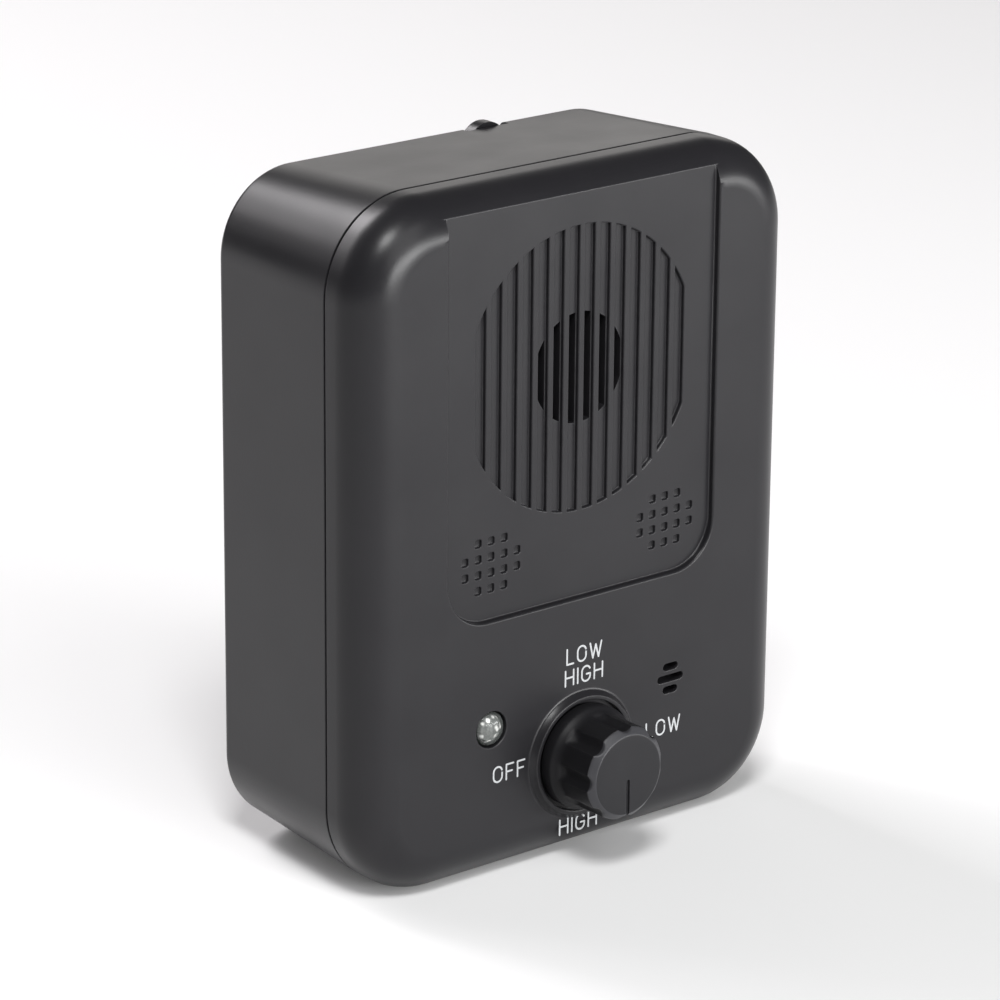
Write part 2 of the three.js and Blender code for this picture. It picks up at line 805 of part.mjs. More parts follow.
const switchPins = Array.from({ length: switchPinCount }, (_, i) => {
  const angle = ((i - (switchPinCount - 1) / 2) * Math.PI) / 5 - Math.PI / 2;
  return [switchPinCircle * Math.cos(angle), switchZ + switchPinCircle * Math.sin(angle)];
});
const pinFrom = (y) => ([x, z]) => rod(legRadius, y, boardBackY - blend, x, z, legSteps);
const lampLegs = [-1, 1].map((side) => [lampX + (side * legPitch) / 2, sideFeatureZ]);
const micPins = [-1, 1].map((side) => [micX + (side * legPitch) / 2, sideFeatureZ]);

function mainBoard() {
  const shape = roundedShape(-boardWidth / 2, boardWidth / 2, boardLowZ, boardHighZ, boardCorner);
  const cut = (radius, [x, z], steps) => rod(radius, boardY - 1, boardBackY + 1, x, z, steps);
  const holes = [
    ...boardPosts.map((at) => cut(boardScrew.shank + holeFit, at, smallSteps)),
    ...[...switchPins, ...lampLegs, ...micPins].map((at) => cut(legRadius + holeFit, at, legSteps)),
  ];
  const body = slab(shape, boardY, boardBackY).subtract(joined(holes));
  return piece("main_board", body, finishes.board);
}

function boardScrews() {
  const length = boardBackY + seat - innerFaceY - 2;
  return boardPosts.map(([x, z], i) =>
    screw(`board_screw_${i + 1}`, boardScrew, x, boardBackY + seat, z, length),
  );
}

function rotarySwitch() {
  const frontY = innerFaceY + seat;
  const backY = frontY + switchDepth;
  const tipY = faceY - bushingStandOut;
  const bore = shaftRadius + shaftClearance;
  const cavity = switchRadius - switchWall;
  const cavityY = frontY + switchWall;
  const housing = turned(
    [
      [bore, tipY],
      [bushingRadius, tipY],
      [bushingRadius, frontY],
      [switchRadius, frontY],
      [switchRadius, backY],
      [cavity, backY],
      [cavity, cavityY],
      [bore, cavityY],
    ],
    0,
    switchZ,
    roundSteps,
  );
  const baseY = backY + seat;
  const base = joined([
    rod(switchRadius, baseY, baseY + switchBaseThickness, 0, switchZ),
    ...switchPins.map(pinFrom(baseY + blend)),
  ]);
  const rotorY = cavityY + blend;
  const shaft = rod(shaftRadius, faceY - shaftStandOut, rotorY + rotorThickness, 0, switchZ)
    .add(rod(cavity - blend, rotorY, rotorY + rotorThickness, 0, switchZ))
    .subtract(shaftFlatCut(0));
  const washerY = faceY - seat - washerThickness;
  const eye = bushingRadius + holeFit;
  const washer = ring(eye, nutAcrossFlats / 2, washerY, washerY + washerThickness, 0, switchZ);
  const nutY = washerY - seat - nutThickness;
  const nutRadius = nutAcrossFlats / 2 / Math.cos(Math.PI / 6);
  const nut = rod(nutRadius, nutY, nutY + nutThickness, 0, switchZ, 6).subtract(
    rod(eye, nutY - 1, nutY + nutThickness + 1, 0, switchZ),
  );
  return {
    fixed: [
      piece("switch_housing", housing, finishes.tin),
      piece("switch_base", base, finishes.darkPlastic),
      piece("switch_washer", washer, finishes.steel),
      piece("switch_nut", nut, finishes.steel),
    ],
    turning: piece("switch_shaft", shaft, finishes.tin),
  };
}

// What is missing on the flat side of the D-shaped shaft end, or of the knob's bore when grown by gap.
function shaftFlatCut(gap) {
  const flatZ = switchZ - shaftRadius + shaftFlat - gap;
  const reach = [faceY - shaftStandOut - 1, faceY - bushingStandOut - blend];
  return block([-shaftRadius - 1, shaftRadius + 1], reach, [flatZ - shaftRadius - 1, flatZ]);
}

function knob() {
  const at = (height) => faceY - height;
  const boreRadius = shaftRadius + shaftClearance;
  const cavityRadius = skirtRadius - knobWall;
  const cavityTop = bushingStandOut + knobNutGap;
  const profile = [
    [0, at(knobFloat)],
    [skirtRadius, at(knobFloat)],
    [skirtRadius, at(skirtHeight)],
    [flareRadius, at((skirtHeight + gripStart) / 2)],
    [gripRadius, at(gripStart)],
    [gripRadius, at(knobHeight - knobBevelHeight)],
    [gripRadius - knobBevel, at(knobHeight)],
    [0, at(knobHeight)],
  ];
  const flutes = Array.from({ length: fluteCount }, (_, i) => {
    const angle = (i / fluteCount) * Math.PI * 2;
    const reach = gripRadius + fluteRadius - fluteDepth;
    const [x, z] = [reach * Math.sin(angle), switchZ + reach * Math.cos(angle)];
    return rod(fluteRadius, at(knobHeight + 1), at(gripStart), x, z, smallSteps);
  });
  const roundBore = rod(boreRadius, at(shaftStandOut + blend), at(0), 0, switchZ);
  const bore = roundBore.subtract(shaftFlatCut(shaftClearance));
  const pointer = block(
    [-pointerWidth / 2, pointerWidth / 2],
    [at(knobHeight + 1), at(knobHeight - pointerDepth)],
    [switchZ - gripRadius - 1, switchZ - pointerStart],
  );
  const body = turned(profile, 0, switchZ, 2 * roundSteps)
    .subtract(rod(cavityRadius, at(cavityTop), at(0), 0, switchZ))
    .subtract(bore)
    .subtract(joined(flutes))
    .subtract(pointer);
  return piece("knob", body, finishes.knob);
}

function lamp() {
  const tipY = faceY - lampStandOut;
  const baseY = tipY + lampLength;
  const dome = [0, 1, 2, 3].map((i) => {
    const angle = (i / 4) * (Math.PI / 2);
    return [lampRadius * Math.sin(angle), tipY + lampDome * (1 - Math.cos(angle))];
  });
  const outline = [...dome, [lampRadius, tipY + lampDome], [lampRadius, baseY - lampFlange]];
  outline.push([lampFlangeRadius, baseY - lampFlange], [lampFlangeRadius, baseY], [0, baseY]);
  const legs = lampLegs.map((at, i) => piece(`lamp_leg_${i + 1}`, pinFrom(baseY + seat)(at), finishes.tin));
  return [piece("lamp_lens", turned(outline, lampX, sideFeatureZ), finishes.clear), ...legs];
}

function microphone() {
  const frontY = innerFaceY + blend;
  const backY = frontY + micLength;
  const can = rod(micRadius, frontY, backY, micX, sideFeatureZ);
  const capsule = joined([can, ...micPins.map(pinFrom(backY - blend))]);
  const bootInner = micRadius + seat;
  const boot = ring(bootInner, bootInner + micBootWall, frontY, backY + blend, micX, sideFeatureZ);
  return [
    piece("microphone_capsule", capsule, finishes.tin),
    piece("microphone_boot", boot, finishes.rubber),
  ];
}

function controlChip() {
  const [x, z] = chipPlace;
  const y = boardBackY + chipLift;
  const [halfWidth, halfHeight] = [chipWidth / 2, chipHeight / 2];
  const [spanX, spanZ] = [[x - halfWidth, x + halfWidth], [z - halfHeight, z + halfHeight]];
  const body = block(spanX, [y, y + chipThickness], spanZ);
  const reach = halfHeight + chipLegReach;
  const legs = Array.from({ length: chipLegs }, (_, i) => {
    const legX = x + (i - (chipLegs - 1) / 2) * legPitch;
    const span = [legX - chipLegWidth / 2, legX + chipLegWidth / 2];
    return block(span, [boardBackY + seat, y + chipThickness / 2], [z - reach, z + reach]);
  });
  return piece("control_chip", body.add(joined(legs)), finishes.darkPlastic);
}

function stepUpCoil() {
  const [x, z] = coilPlace;
  const y = boardBackY + seat;
  const [innerLow, innerHigh, top] = [y + coilFlange, y + coilLength - coilFlange, y + coilLength];
  const core = turned(
    [
      [0, y],
      [coilRadius, y],
      [coilRadius, innerLow],
      [coilCoreRadius, innerLow],
      [coilCoreRadius, innerHigh],
      [coilRadius, innerHigh],
      [coilRadius, top],
      [0, top],
    ],
    x,
    z,
  );
  const winding = ring(coilCoreRadius + seat, windingRadius, innerLow + seat, innerHigh - seat, x, z);
  return [piece("coil_core", core, finishes.ferrite), piece("coil_winding", winding, finishes.copper)];
}

function capacitors() {
  const y = boardBackY + seat;
  return capacitorCans.map(({ place: [x, z], radius, length }, i) => {
    const outline = [
      [0, y],
      [radius, y],
      [radius, y + 3 * canGroove],
      [radius - canGroove, y + 4 * canGroove],
      [radius, y + 5 * canGroove],
      [radius, y + length - canGroove],
      [radius - canGroove, y + length],
      [0, y + length],
    ];
    return piece(`capacitor_${i + 1}`, turned(outline, x, z, smallSteps), finishes.sleeve);
  });
}

function driverTransistor() {
  const [x, z] = transistorPlace;
  const [halfWidth, halfDepth] = [transistorWidth / 2, transistorDepth / 2];
  const corner = halfDepth - seat;
  const shape = roundedShape(x - halfWidth, x + halfWidth, z - halfDepth, z + halfDepth, corner);
  const y = boardBackY + seat;
  return piece("driver_transistor", slab(shape, y, y + transistorLength), finishes.darkPlastic);
}

function resistors() {
  const [x, lowest] = resistorPlace;
  const spanX = [x - resistorLength / 2, x + resistorLength / 2];
  const y = boardBackY + blend;
  return [0, 1, 2].map((i) => {
    const z = lowest + i * resistorPitch;
    const body = block(spanX, [y, y + resistorWidth], [z - resistorWidth / 2, z + resistorWidth / 2]);
    return piece(`resistor_${i + 1}`, body, finishes.resistor);
  });
}

// ---- Battery and its connector ----

function battery() {
  const x = [batteryX - batteryWidth / 2, batteryX + batteryWidth / 2];
  const shape = roundedShape(...x, batteryFrontY, batteryBackY, batteryCorner);
  const studs = [batteryHighZ + seat, batteryHighZ + studHeight];
  const [plusX, minusX] = [batteryX - studSpacing / 2, batteryX + studSpacing / 2];
  const hollow = studRadius + holeFit;
  const crown = (radius, atX, z0, z1) =>
    upright(radius, z0, z1, atX, batteryY).subtract(upright(hollow, z0 - 1, z1 + 1, atX, batteryY));
  const capLow = studs[1] + holeFit;
  const [capX, capY] = [batteryWidth / 2 - snapCapInset, batteryThickness / 2 - snapCapMargin];
  const capSpan = [batteryX - capX, batteryX + capX, batteryY - capY, batteryY + capY];
  const capShape = roundedShape(...capSpan, capY / 2);
  const reach = [batteryHighZ + holeFit, capLow - seat];
  return [
    piece("battery_case", column(shape, batteryLowZ, batteryHighZ), finishes.battery),
    piece("battery_stud_plus", upright(studRadius, ...studs, plusX, batteryY), finishes.tin),
    piece("battery_stud_minus", crown(crownRadius, minusX, ...studs), finishes.tin),
    piece("snap_cap", column(capShape, capLow, capLow + snapCapThickness), finishes.black),
    piece("snap_socket", crown(crownRadius - holeFit, plusX, ...reach), finishes.tin),
    piece("snap_stud", upright(studRadius - holeFit, ...reach, minusX, batteryY), finishes.tin),
  ];
}

// Each lead runs down beside its twin, leans over to the board and ends on its solder pad.
function batteryLead(name, side, material) {
  const y = batteryY + side * leadPairGap;
  const x = batteryX - bayHalfWidth - baySkin - leadSlotHalf - side * leadPairGap;
  const capX = batteryX - batteryWidth / 2 + snapCapInset - blend;
  const capZ = batteryHighZ + studHeight + holeFit + snapCapThickness / 2;
  const points = [
    [capX, y, capZ],
    [batteryX - bayHalfWidth - baySkin, y, capZ + wireRadius],
    [x, y, capZ - leadDrop],
    [x, y, (capZ + leadBendZ) / 2],
    [x, y - wireRadius, leadBendZ],
    [x, padTopY + 2 * wireRadius, boardHighZ],
    [x, padTopY, boardHighZ - leadDrop - side * wireRadius],
  ];
  return piece(name, wire(points), material);
}

function speakerLead(name, side, material) {
  const backY = flangeY + speakerCupDepth + wireRadius + seat;
  const x = speakerLeadX + side * leadPairGap;
  const points = [
    [x + 2, backY, grilleZ - leadDrop],
    [x, backY + 2 * wireRadius, grilleZ - 3 * leadDrop],
    [x - 1, backY + 2 * wireRadius, leadBendZ],
    [x - 2, padTopY + 2 * wireRadius, boardHighZ],
    [x - 3, padTopY, boardHighZ - leadDrop],
  ];
  return piece(name, wire(points), material);
}

function leads() {
  return [
    batteryLead("battery_lead_red", 1, finishes.red),
    batteryLead("battery_lead_black", -1, finishes.black),
    speakerLead("speaker_lead_red", 1, finishes.red),
    speakerLead("speaker_lead_black", -1, finishes.black),
  ];
}

// ---- Assembly ----

function group(...members) {
  const holder = new THREE.Group();
  holder.add(...members);
  return holder;
}

const caseScrewY = rearCoverY + caseScrewSeat + seat;
const caseScrewLength = caseScrewSeat + partingGap + caseScrewGrip;
const caseScrews = casePosts.map(([x, z], i) =>
  screw(`case_screw_${i + 1}`, caseScrew, x, caseScrewY, z, caseScrewLength),
);
const rotary = rotarySwitch();

const repeller = group(
  group(frontCover(), rearCover(), ...caseScrews),
  group(batteryDoor(), doorFoam()),
  group(...speaker()),
  group(mainBoard(), ...boardScrews(), ...lamp(), ...microphone()),
  group(controlChip(), ...stepUpCoil(), ...capacitors(), driverTransistor(), ...resistors()),
  group(...rotary.fixed),
  group(rotary.turning, knob()),
  group(...battery(), ...leads()),
);

export default repeller;
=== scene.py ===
# %% [markdown]
# # An ultrasonic pest repeller
#
# A charcoal plastic case stands on its foot. Its front carries a slotted speaker grille, an indicator lamp,
# a microphone and a turning knob, and its back has a battery door and two keyholes for wall screws. The
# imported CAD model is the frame: it fixes every place and size, and the pieces made here give it its looks.

import bmesh
import bpy
import json
import math
import numpy as np
from mathutils import Matrix, Vector


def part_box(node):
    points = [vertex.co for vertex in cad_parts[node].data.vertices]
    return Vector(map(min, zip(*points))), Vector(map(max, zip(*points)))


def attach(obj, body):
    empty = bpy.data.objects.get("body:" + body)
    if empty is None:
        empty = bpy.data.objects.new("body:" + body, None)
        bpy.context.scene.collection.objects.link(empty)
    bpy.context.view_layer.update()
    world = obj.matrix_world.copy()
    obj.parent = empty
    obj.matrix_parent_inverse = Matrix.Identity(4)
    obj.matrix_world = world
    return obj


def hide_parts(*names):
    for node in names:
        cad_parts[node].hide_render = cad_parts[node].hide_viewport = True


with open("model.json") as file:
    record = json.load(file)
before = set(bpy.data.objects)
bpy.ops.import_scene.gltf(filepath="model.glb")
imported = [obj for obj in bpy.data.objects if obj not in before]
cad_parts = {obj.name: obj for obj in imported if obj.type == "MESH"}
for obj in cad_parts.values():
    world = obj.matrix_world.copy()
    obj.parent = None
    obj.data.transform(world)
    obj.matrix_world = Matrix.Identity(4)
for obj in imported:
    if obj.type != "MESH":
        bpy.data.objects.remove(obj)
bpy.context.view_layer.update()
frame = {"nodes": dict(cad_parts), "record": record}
nodes = frame["nodes"]

# %% [markdown]
# ## Camera
#
# The camera looks from the left and a little above, through a long lens, so that upright edges stay nearly
# parallel. Its place is given by two angles and a distance from a point on the case, which is easier to
# change than three coordinates. A small roll finishes it, because such a view is seldom perfectly level.

# %% Camera
MM = 0.001
VIEW_SIDE = math.radians(-39.252)
VIEW_ABOVE = math.radians(18.705)
VIEW_ROLL = math.radians(0.48)
VIEW_DISTANCE = 668.16 * MM
VIEW_ASIDE = -0.236 * MM
VIEW_RAISED = 45.811 * MM
FOCAL_LENGTH = 165.2


def linked(name, data):
    """A new object in the scene."""
    made = bpy.data.objects.new(name, data)
    bpy.context.scene.collection.objects.link(made)
    return made


def make_camera():
    level = math.cos(VIEW_ABOVE)
    back = Vector((math.sin(VIEW_SIDE) * level, -math.cos(VIEW_SIDE) * level, math.sin(VIEW_ABOVE)))
    right = (-back).cross(Vector((0, 0, 1))).normalized()
    up = right.cross(-back)
    turn = Matrix.Rotation(-VIEW_ROLL, 3, -back)
    right, up = turn @ right, turn @ up
    lens = bpy.data.cameras.new("camera")
    lens.lens, lens.sensor_width = FOCAL_LENGTH, 36
    lens.clip_start, lens.clip_end = 0.01, 20
    camera = linked("camera", lens)
    place = back * VIEW_DISTANCE + right * VIEW_ASIDE + up * VIEW_RAISED
    axes = Matrix((right, up, back)).transposed().to_4x4()
    camera.matrix_world = Matrix.Translation(place) @ axes
    bpy.context.scene.camera = camera
    return camera


camera = make_camera()
print("camera at", [round(v, 3) for v in camera.matrix_world.translation])

# %% [markdown]
# ## Floor and light
#
# A dark satin case shows its shape by what it reflects, so each light is a panel placed where one face
# mirrors it towards the camera. A low panel behind on the right gives the top its pale sheen, three behind on
# the left give the round corner its band, three in front light the face, and one high in front lights the
# face's upper left corner. Whatever mirrors no panel stays dark, which draws the rolled edges. The room itself
# is nearly dark in the reflections but pale behind the object. The floor is a plain square, gives off a little
# light of its own so that it stays pale, and belongs to the stage.

# %% Floor and light
def area_light(name, place, target, width, height, power, tint=(1, 1, 1)):
    lamp = bpy.data.lights.new(name, "AREA")
    lamp.shape, lamp.size, lamp.size_y = "RECTANGLE", width, height
    lamp.energy, lamp.color = power, tint
    light = linked(name, lamp)
    light.visible_camera = False
    light.location = place
    light.rotation_mode = "QUATERNION"
    light.rotation_quaternion = (Vector(place) - Vector(target)).to_track_quat("Z", "Y")


def make_stage():
    world = bpy.data.worlds.new("pale_room")
    world.use_nodes = True
    room = world.node_tree.nodes["Background"]
    room.inputs["Color"].default_value = (1, 1, 1, 1)
    seen = world.node_tree.nodes.new("ShaderNodeLightPath").outputs["Is Camera Ray"]
    strength = world.node_tree.nodes.new("ShaderNodeMapRange")
    strength.inputs["To Min"].default_value = ROOM_LIGHT
    world.node_tree.links.new(seen, strength.inputs["Value"])
    world.node_tree.links.new(strength.outputs["Result"], room.inputs["Strength"])
    bpy.context.scene.world = world
    bpy.context.scene.view_settings.view_transform = "Standard"
    paint = bpy.data.materials.new("floor_paint")
    paint.use_nodes = True
    shader = paint.node_tree.nodes["Principled BSDF"]
    shader.inputs["Base Color"].default_value = (0.85, 0.85, 0.85, 1)
    shader.inputs["Roughness"].default_value = 0.9
    shader.inputs["Emission Color"].default_value = (1, 1, 1, 1)
    shader.inputs["Emission Strength"].default_value = FLOOR_LIGHT
    mesh = bpy.data.meshes.new("floor")
    corners = [(x * FLOOR_HALF, y * FLOOR_HALF, 0) for x, y in ((-1, -1), (1, -1), (1, 1), (-1, 1))]
    mesh.from_pydata(corners, [], [(0, 1, 2, 3)])
    mesh.materials.append(paint)
    floor = linked("floor", mesh)


ROOM_LIGHT, FLOOR_LIGHT, FLOOR_HALF = 0.04, 0.06, 1.1
CENTRE = (0, 0, 0.05)
make_stage()
area_light("top_sheen", (0.84, 1.02, 0.45), CENTRE, 0.8, 0.5, 1.5, (1, 0.975, 0.95))
area_light("band_high", (-0.15, 0.88, 0.90), CENTRE, 0.4, 0.4, 7, (1, 0.97, 0.99))
area_light("band_middle", (-0.45, 0.9, 0.72), CENTRE, 0.4, 0.4, 2.8, (1, 0.97, 0.99))
area_light("band_low", (-0.73, 0.88, 0.525), CENTRE, 0.4, 0.4, 0.8, (1, 0.97, 0.99))
area_light("face_low", (0.8, -1.0, 0.1), CENTRE, 0.9, 0.17, 8)
area_light("face_near_floor", (0.2, -1.2, 0.2), CENTRE, 0.6, 0.3, 10)
area_light("face_high", (0, -1.0, 0.8), CENTRE, 0.8, 0.8, 5)
area_light("front_corner", (-0.4, -0.5, 1.0), CENTRE, 0.3, 0.3, 8)

# %% [markdown]
# ## Finishes
#
# Moulded plastic is never one flat colour: its skin has a fine spark-eroded grain, and its gloss changes slightly
# from place to place. Its edges are painted a little paler, partly as rubbing from handling and partly as a
# painted highlight along them. Every finish here is made from the same few nodes. Noise on Object coordinates
# gives grain and variation at a real scale whatever the shape, and the difference between the true normal and a
# rounded one finds the edges.

# %% Finishes
def feed(tree, value, socket):
    """Joins a node's output to a socket, or sets the socket to a plain value."""
    if isinstance(value, bpy.types.NodeSocket):
        tree.links.new(value, socket)
    else:
        socket.default_value = value


class Paint:
    """A material whose nodes are added one after another and joined by name."""

    def __init__(self, name):
        self.material = bpy.data.materials.new(name)
        self.material.use_nodes = True
        self.tree = self.material.node_tree
        self.shader = self.tree.nodes["Principled BSDF"]
        self.place = self.node("ShaderNodeTexCoord").outputs["Object"]

    def node(self, kind, **settings):
        made = self.tree.nodes.new(kind)
        for key, value in settings.items():
            setattr(made, key, value)
        return made

    def join(self, output, target):
        self.tree.links.new(output, target)

    def noise(self, size, detail=3, stretch=None):
        """Noise whose features are about size metres across."""
        made = self.node("ShaderNodeTexNoise")
        made.inputs["Scale"].default_value = 1 / size
        made.inputs["Detail"].default_value = detail
        source = self.place
        if stretch:
            mapping = self.node("ShaderNodeMapping")
            mapping.inputs["Scale"].default_value = stretch
            self.join(source, mapping.inputs["Vector"])
            source = mapping.outputs["Vector"]
        self.join(source, made.inputs["Vector"])
        return made.outputs["Fac"]

    def remap(self, value, low, high, start, end):
        made = self.node("ShaderNodeMapRange")
        made.inputs["From Min"].default_value = low
        made.inputs["From Max"].default_value = high
        made.inputs["To Min"].default_value = start
        made.inputs["To Max"].default_value = end
        self.join(value, made.inputs["Value"])
        return made.outputs["Result"]

    def mix(self, factor, first, second):
        """A blend of two colours, each a colour or another node's output."""
        made = self.node("ShaderNodeMix", data_type="RGBA")
        self.join(factor, made.inputs["Factor"])
        for socket, value in ((made.inputs[6], first), (made.inputs[7], second)):
            feed(self.tree, value if isinstance(value, bpy.types.NodeSocket) else (*value, 1), socket)
        return made.outputs[2]

    def math(self, operation, first, second):
        made = self.node("ShaderNodeMath", operation=operation)
        for socket, value in zip(made.inputs, (first, second)):
            feed(self.tree, value, socket)
        return made.outputs[0]

    def edges(self, radius):
        """Near 1 along edges that curve more tightly than radius, and 0 on the flat."""
        rounded = self.node("ShaderNodeBevel", samples=4)
        rounded.inputs["Radius"].default_value = radius
        true = self.node("ShaderNodeNewGeometry")
        dot = self.node("ShaderNodeVectorMath", operation="DOT_PRODUCT")
        self.join(rounded.outputs["Normal"], dot.inputs[0])
        self.join(true.outputs["Normal"], dot.inputs[1])
        return self.remap(dot.outputs["Value"], 0.995, 0.85, 0, 1)

    def colour(self, value):
        self.join(value, self.shader.inputs["Base Color"])

    def roughness(self, value):
        self.join(value, self.shader.inputs["Roughness"])

    def bump(self, height, depth, strength=1.0):
        made = self.node("ShaderNodeBump")
        made.inputs["Distance"].default_value = depth
        made.inputs["Strength"].default_value = strength
        self.join(height, made.inputs["Height"])
        self.join(made.outputs["Normal"], self.shader.inputs["Normal"])

    def set(self, **values):
        for key, value in values.items():
            self.shader.inputs[key.replace("_", " ")].default_value = value


def moulded(name, colour, gloss, grain=0.35 * MM, depth=0.006 * MM, wear_and_highlight=1.6, spread=0.05):
    """Moulded plastic or rubber: gloss is its mean roughness, and the edge factor how much paler its edges are
    painted, partly as rubbing and partly as a painted highlight.
    """
    paint = Paint(name)
    shade = [min(1, c * 1.12) for c in colour]
    # Edges are painted paler: partly rubbing from handling, partly a painted highlight along them.
    worn_and_highlit = [min(1, c * wear_and_highlight + 0.01) for c in colour]
    mottle = paint.mix(paint.noise(9 * MM), [c * 0.9 for c in colour], shade)
    worn_and_highlit_here = paint.remap(paint.noise(1.5 * MM), 0.35, 0.65, 0.25, 1)
    edge = paint.math("MULTIPLY", paint.edges(0.35 * MM), worn_and_highlit_here)
    paint.colour(paint.mix(edge, mottle, worn_and_highlit))
    paint.roughness(paint.remap(paint.noise(14 * MM, 5), 0.3, 0.7, gloss - spread, gloss + spread))
    paint.bump(paint.noise(grain, 2), depth)
    return paint


def metal(name, colour, gloss, brush=None, grain=0.5 * MM):
    paint = Paint(name)
    paint.set(Metallic=1.0)
    stain = paint.noise(2.5 * MM, 4)
    paint.colour(paint.mix(stain, [c * 0.82 for c in colour], colour))
    paint.roughness(paint.remap(paint.noise(grain, 3, brush), 0.3, 0.7, gloss * 0.7, gloss * 1.3))
    paint.bump(paint.noise(grain, 3, brush), 0.004 * MM)
    return paint


case_plastic = moulded("charcoal_case", (0.0135, 0.0131, 0.0148), 0.315, spread=0.03)
case_plastic.set(Specular_IOR_Level=0.26)
knob_plastic = moulded("black_knob", (0.0085, 0.0083, 0.0095), 0.48, wear_and_highlight=1.5)
# The knob's top and its bevel's rim are copies of the knob's black plastic painted paler: the top as painted light,
# the rim as a painted highlight.
knob_top_painted_light = moulded("knob_top_painted_light", (0.013, 0.0128, 0.0145), 0.36, wear_and_highlight=2)
knob_rim_painted_highlight = moulded("knob_rim_painted_highlight", (0.036, 0.036, 0.04), 0.42, wear_and_highlight=2)
inner_plastic = moulded("black_inside", (0.012, 0.012, 0.013), 0.45)
screw_steel = metal("zinc_screw", (0.45, 0.46, 0.48), 0.3, brush=(1, 1, 0.1))
for paint, shine in ((knob_plastic, 0.18), (knob_top_painted_light, 0.24), (knob_rim_painted_highlight, 0.3)):
    paint.set(Specular_IOR_Level=shine)
print("finishes:", [p.material.name for p in (case_plastic, knob_plastic, inner_plastic, screw_steel)])

# %% [markdown]
# ## Sizes taken from the frame
#
# Most pieces made here stand for a CAD node and have to fill the same space, so their main places are read
# from the nodes' boxes. Only the sizes that a box can't show, such as the radius of a corner, are written
# down, once each. WELD is how far one solid reaches into another that it is joined to.

# %% Sizes
front_low, front_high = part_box("front_cover")
rear_low, rear_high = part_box("rear_cover")
knob_low, knob_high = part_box("knob")
HALF_WIDTH, HEIGHT, REAR = rear_high.x, rear_high.z, rear_high.y
FACE = -REAR
SPLIT_REAR = rear_low.y
PARTING_GAP = 0.25 * MM
SPLIT_FRONT = SPLIT_REAR - PARTING_GAP
WALL = 2 * MM
WELD = 0.3 * MM
SAME_PLACE = 1e-7
CORNER = 13.5 * MM
FACE_ROLL = 6.3 * MM
REAR_ROLL = 1.3 * MM
DRAFT = 1.6 * MM
INNER_FACE, INNER_REAR = FACE + WALL, REAR - WALL
RECESS = FACE + 1 * MM
GRILLE_HEIGHT = sum(c.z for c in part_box("speaker_basket")) / 2
KNOB_HEIGHT = (knob_low.z + knob_high.z) / 2


def middle(node):
    low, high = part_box(node)
    return (low + high) / 2


CASE_POSTS = [(middle(f"case_screw_{i}").x, middle(f"case_screw_{i}").z) for i in (1, 2, 3, 4)]
print("knob at", round(KNOB_HEIGHT / MM, 2), "grille at", round(GRILLE_HEIGHT / MM, 2))
print("posts at", [(round(x / MM, 1), round(z / MM, 1)) for x, z in CASE_POSTS])

# %% [markdown]
# ## Solids from rings
#
# Both covers, the cutters for their openings and most small pieces are one idea: a closed outline that
# changes a little from one ring to the next. Joining the rings with quads gives clean, even faces that
# shade smoothly, and the two ends are closed with one flat face each.

# %% Solids from rings
def face_outward(mesh, merge=True):
    """Turns every face outward, after merging the points that lie in one place."""
    work = bmesh.new()
    work.from_mesh(mesh)
    if merge:
        bmesh.ops.remove_doubles(work, verts=work.verts, dist=SAME_PLACE)
    bmesh.ops.recalc_face_normals(work, faces=work.faces)
    work.to_mesh(mesh)
    work.free()


def new_object(name, points, faces, recalculate=True):
    mesh = bpy.data.meshes.new(name)
    mesh.from_pydata([tuple(p) for p in points], [], faces)
    if recalculate:
        face_outward(mesh)
    return linked(name, mesh)


def ring_faces(count, rings, closed=False):
    faces = []
    for i in range(rings if closed else rings - 1):
        low, high = i * count, (i + 1) % rings * count
        faces += [(low + j, high + j, high + (j + 1) % count, low + (j + 1) % count) for j in range(count)]
    if not closed:
        faces += [tuple(range(count)), tuple(reversed(range((rings - 1) * count, rings * count)))]
    return faces


def from_rings(name, rings):
    return new_object(name, [p for ring in rings for p in ring], ring_faces(len(rings[0]), len(rings)))


def flat_ring(outline, y, x0=0.0, z0=0.0):
    """An outline of (x, z) set at depth y and moved to x0, z0."""
    return [(x0 + x, y, z0 + z) for x, z in outline]


def stacked(name, levels, outline_at, x0=0.0, z0=0.0):
    """A body whose outline, outline_at(grow), changes from one (grow, y) level to the next."""
    return from_rings(name, [flat_ring(outline_at(grow), y, x0, z0) for grow, y in levels])


def rounded_outline(x0, x1, z0, z1, radius, steps=10):
    """Points (x, z) round a rectangle with rounded corners."""
    radius = max(min(radius, (x1 - x0) / 2 - 1e-6, (z1 - z0) / 2 - 1e-6), 0.02 * MM)
    centres = [(x1 - radius, z0 + radius), (x1 - radius, z1 - radius)]
    centres += [(x0 + radius, z1 - radius), (x0 + radius, z0 + radius)]
    points = []
    for corner, (cx, cz) in enumerate(centres):
        for i in range(steps + 1):
            angle = (corner - 1 + i / steps) * math.pi / 2
            points.append((cx + radius * math.cos(angle), cz + radius * math.sin(angle)))
    return points


def case_ring(y, inset, steps=20):
    outline = rounded_outline(
        -HALF_WIDTH + inset, HALF_WIDTH - inset, inset, HEIGHT - inset, max(CORNER - inset, 1 * MM), steps
    )
    return flat_ring(outline, y)


def quarter(steps):
    """Angles from 0 to a quarter turn, for rolled edges."""
    return [i / steps * math.pi / 2 for i in range(steps + 1)]


def flared(radius, steps, start=0.0, way=1):
    """Levels (grow, y) of an edge that flares by radius at start and runs straight after it."""
    return [(radius * (1 - math.sin(a)), start + way * radius * (1 - math.cos(a))) for a in quarter(steps)]


def rounded_in(radius, steps, end):
    """Levels (grow, y) of an edge that rounds inwards by radius until it reaches end."""
    return [(-radius * (1 - math.cos(a)), end - radius + radius * math.sin(a)) for a in quarter(steps)]


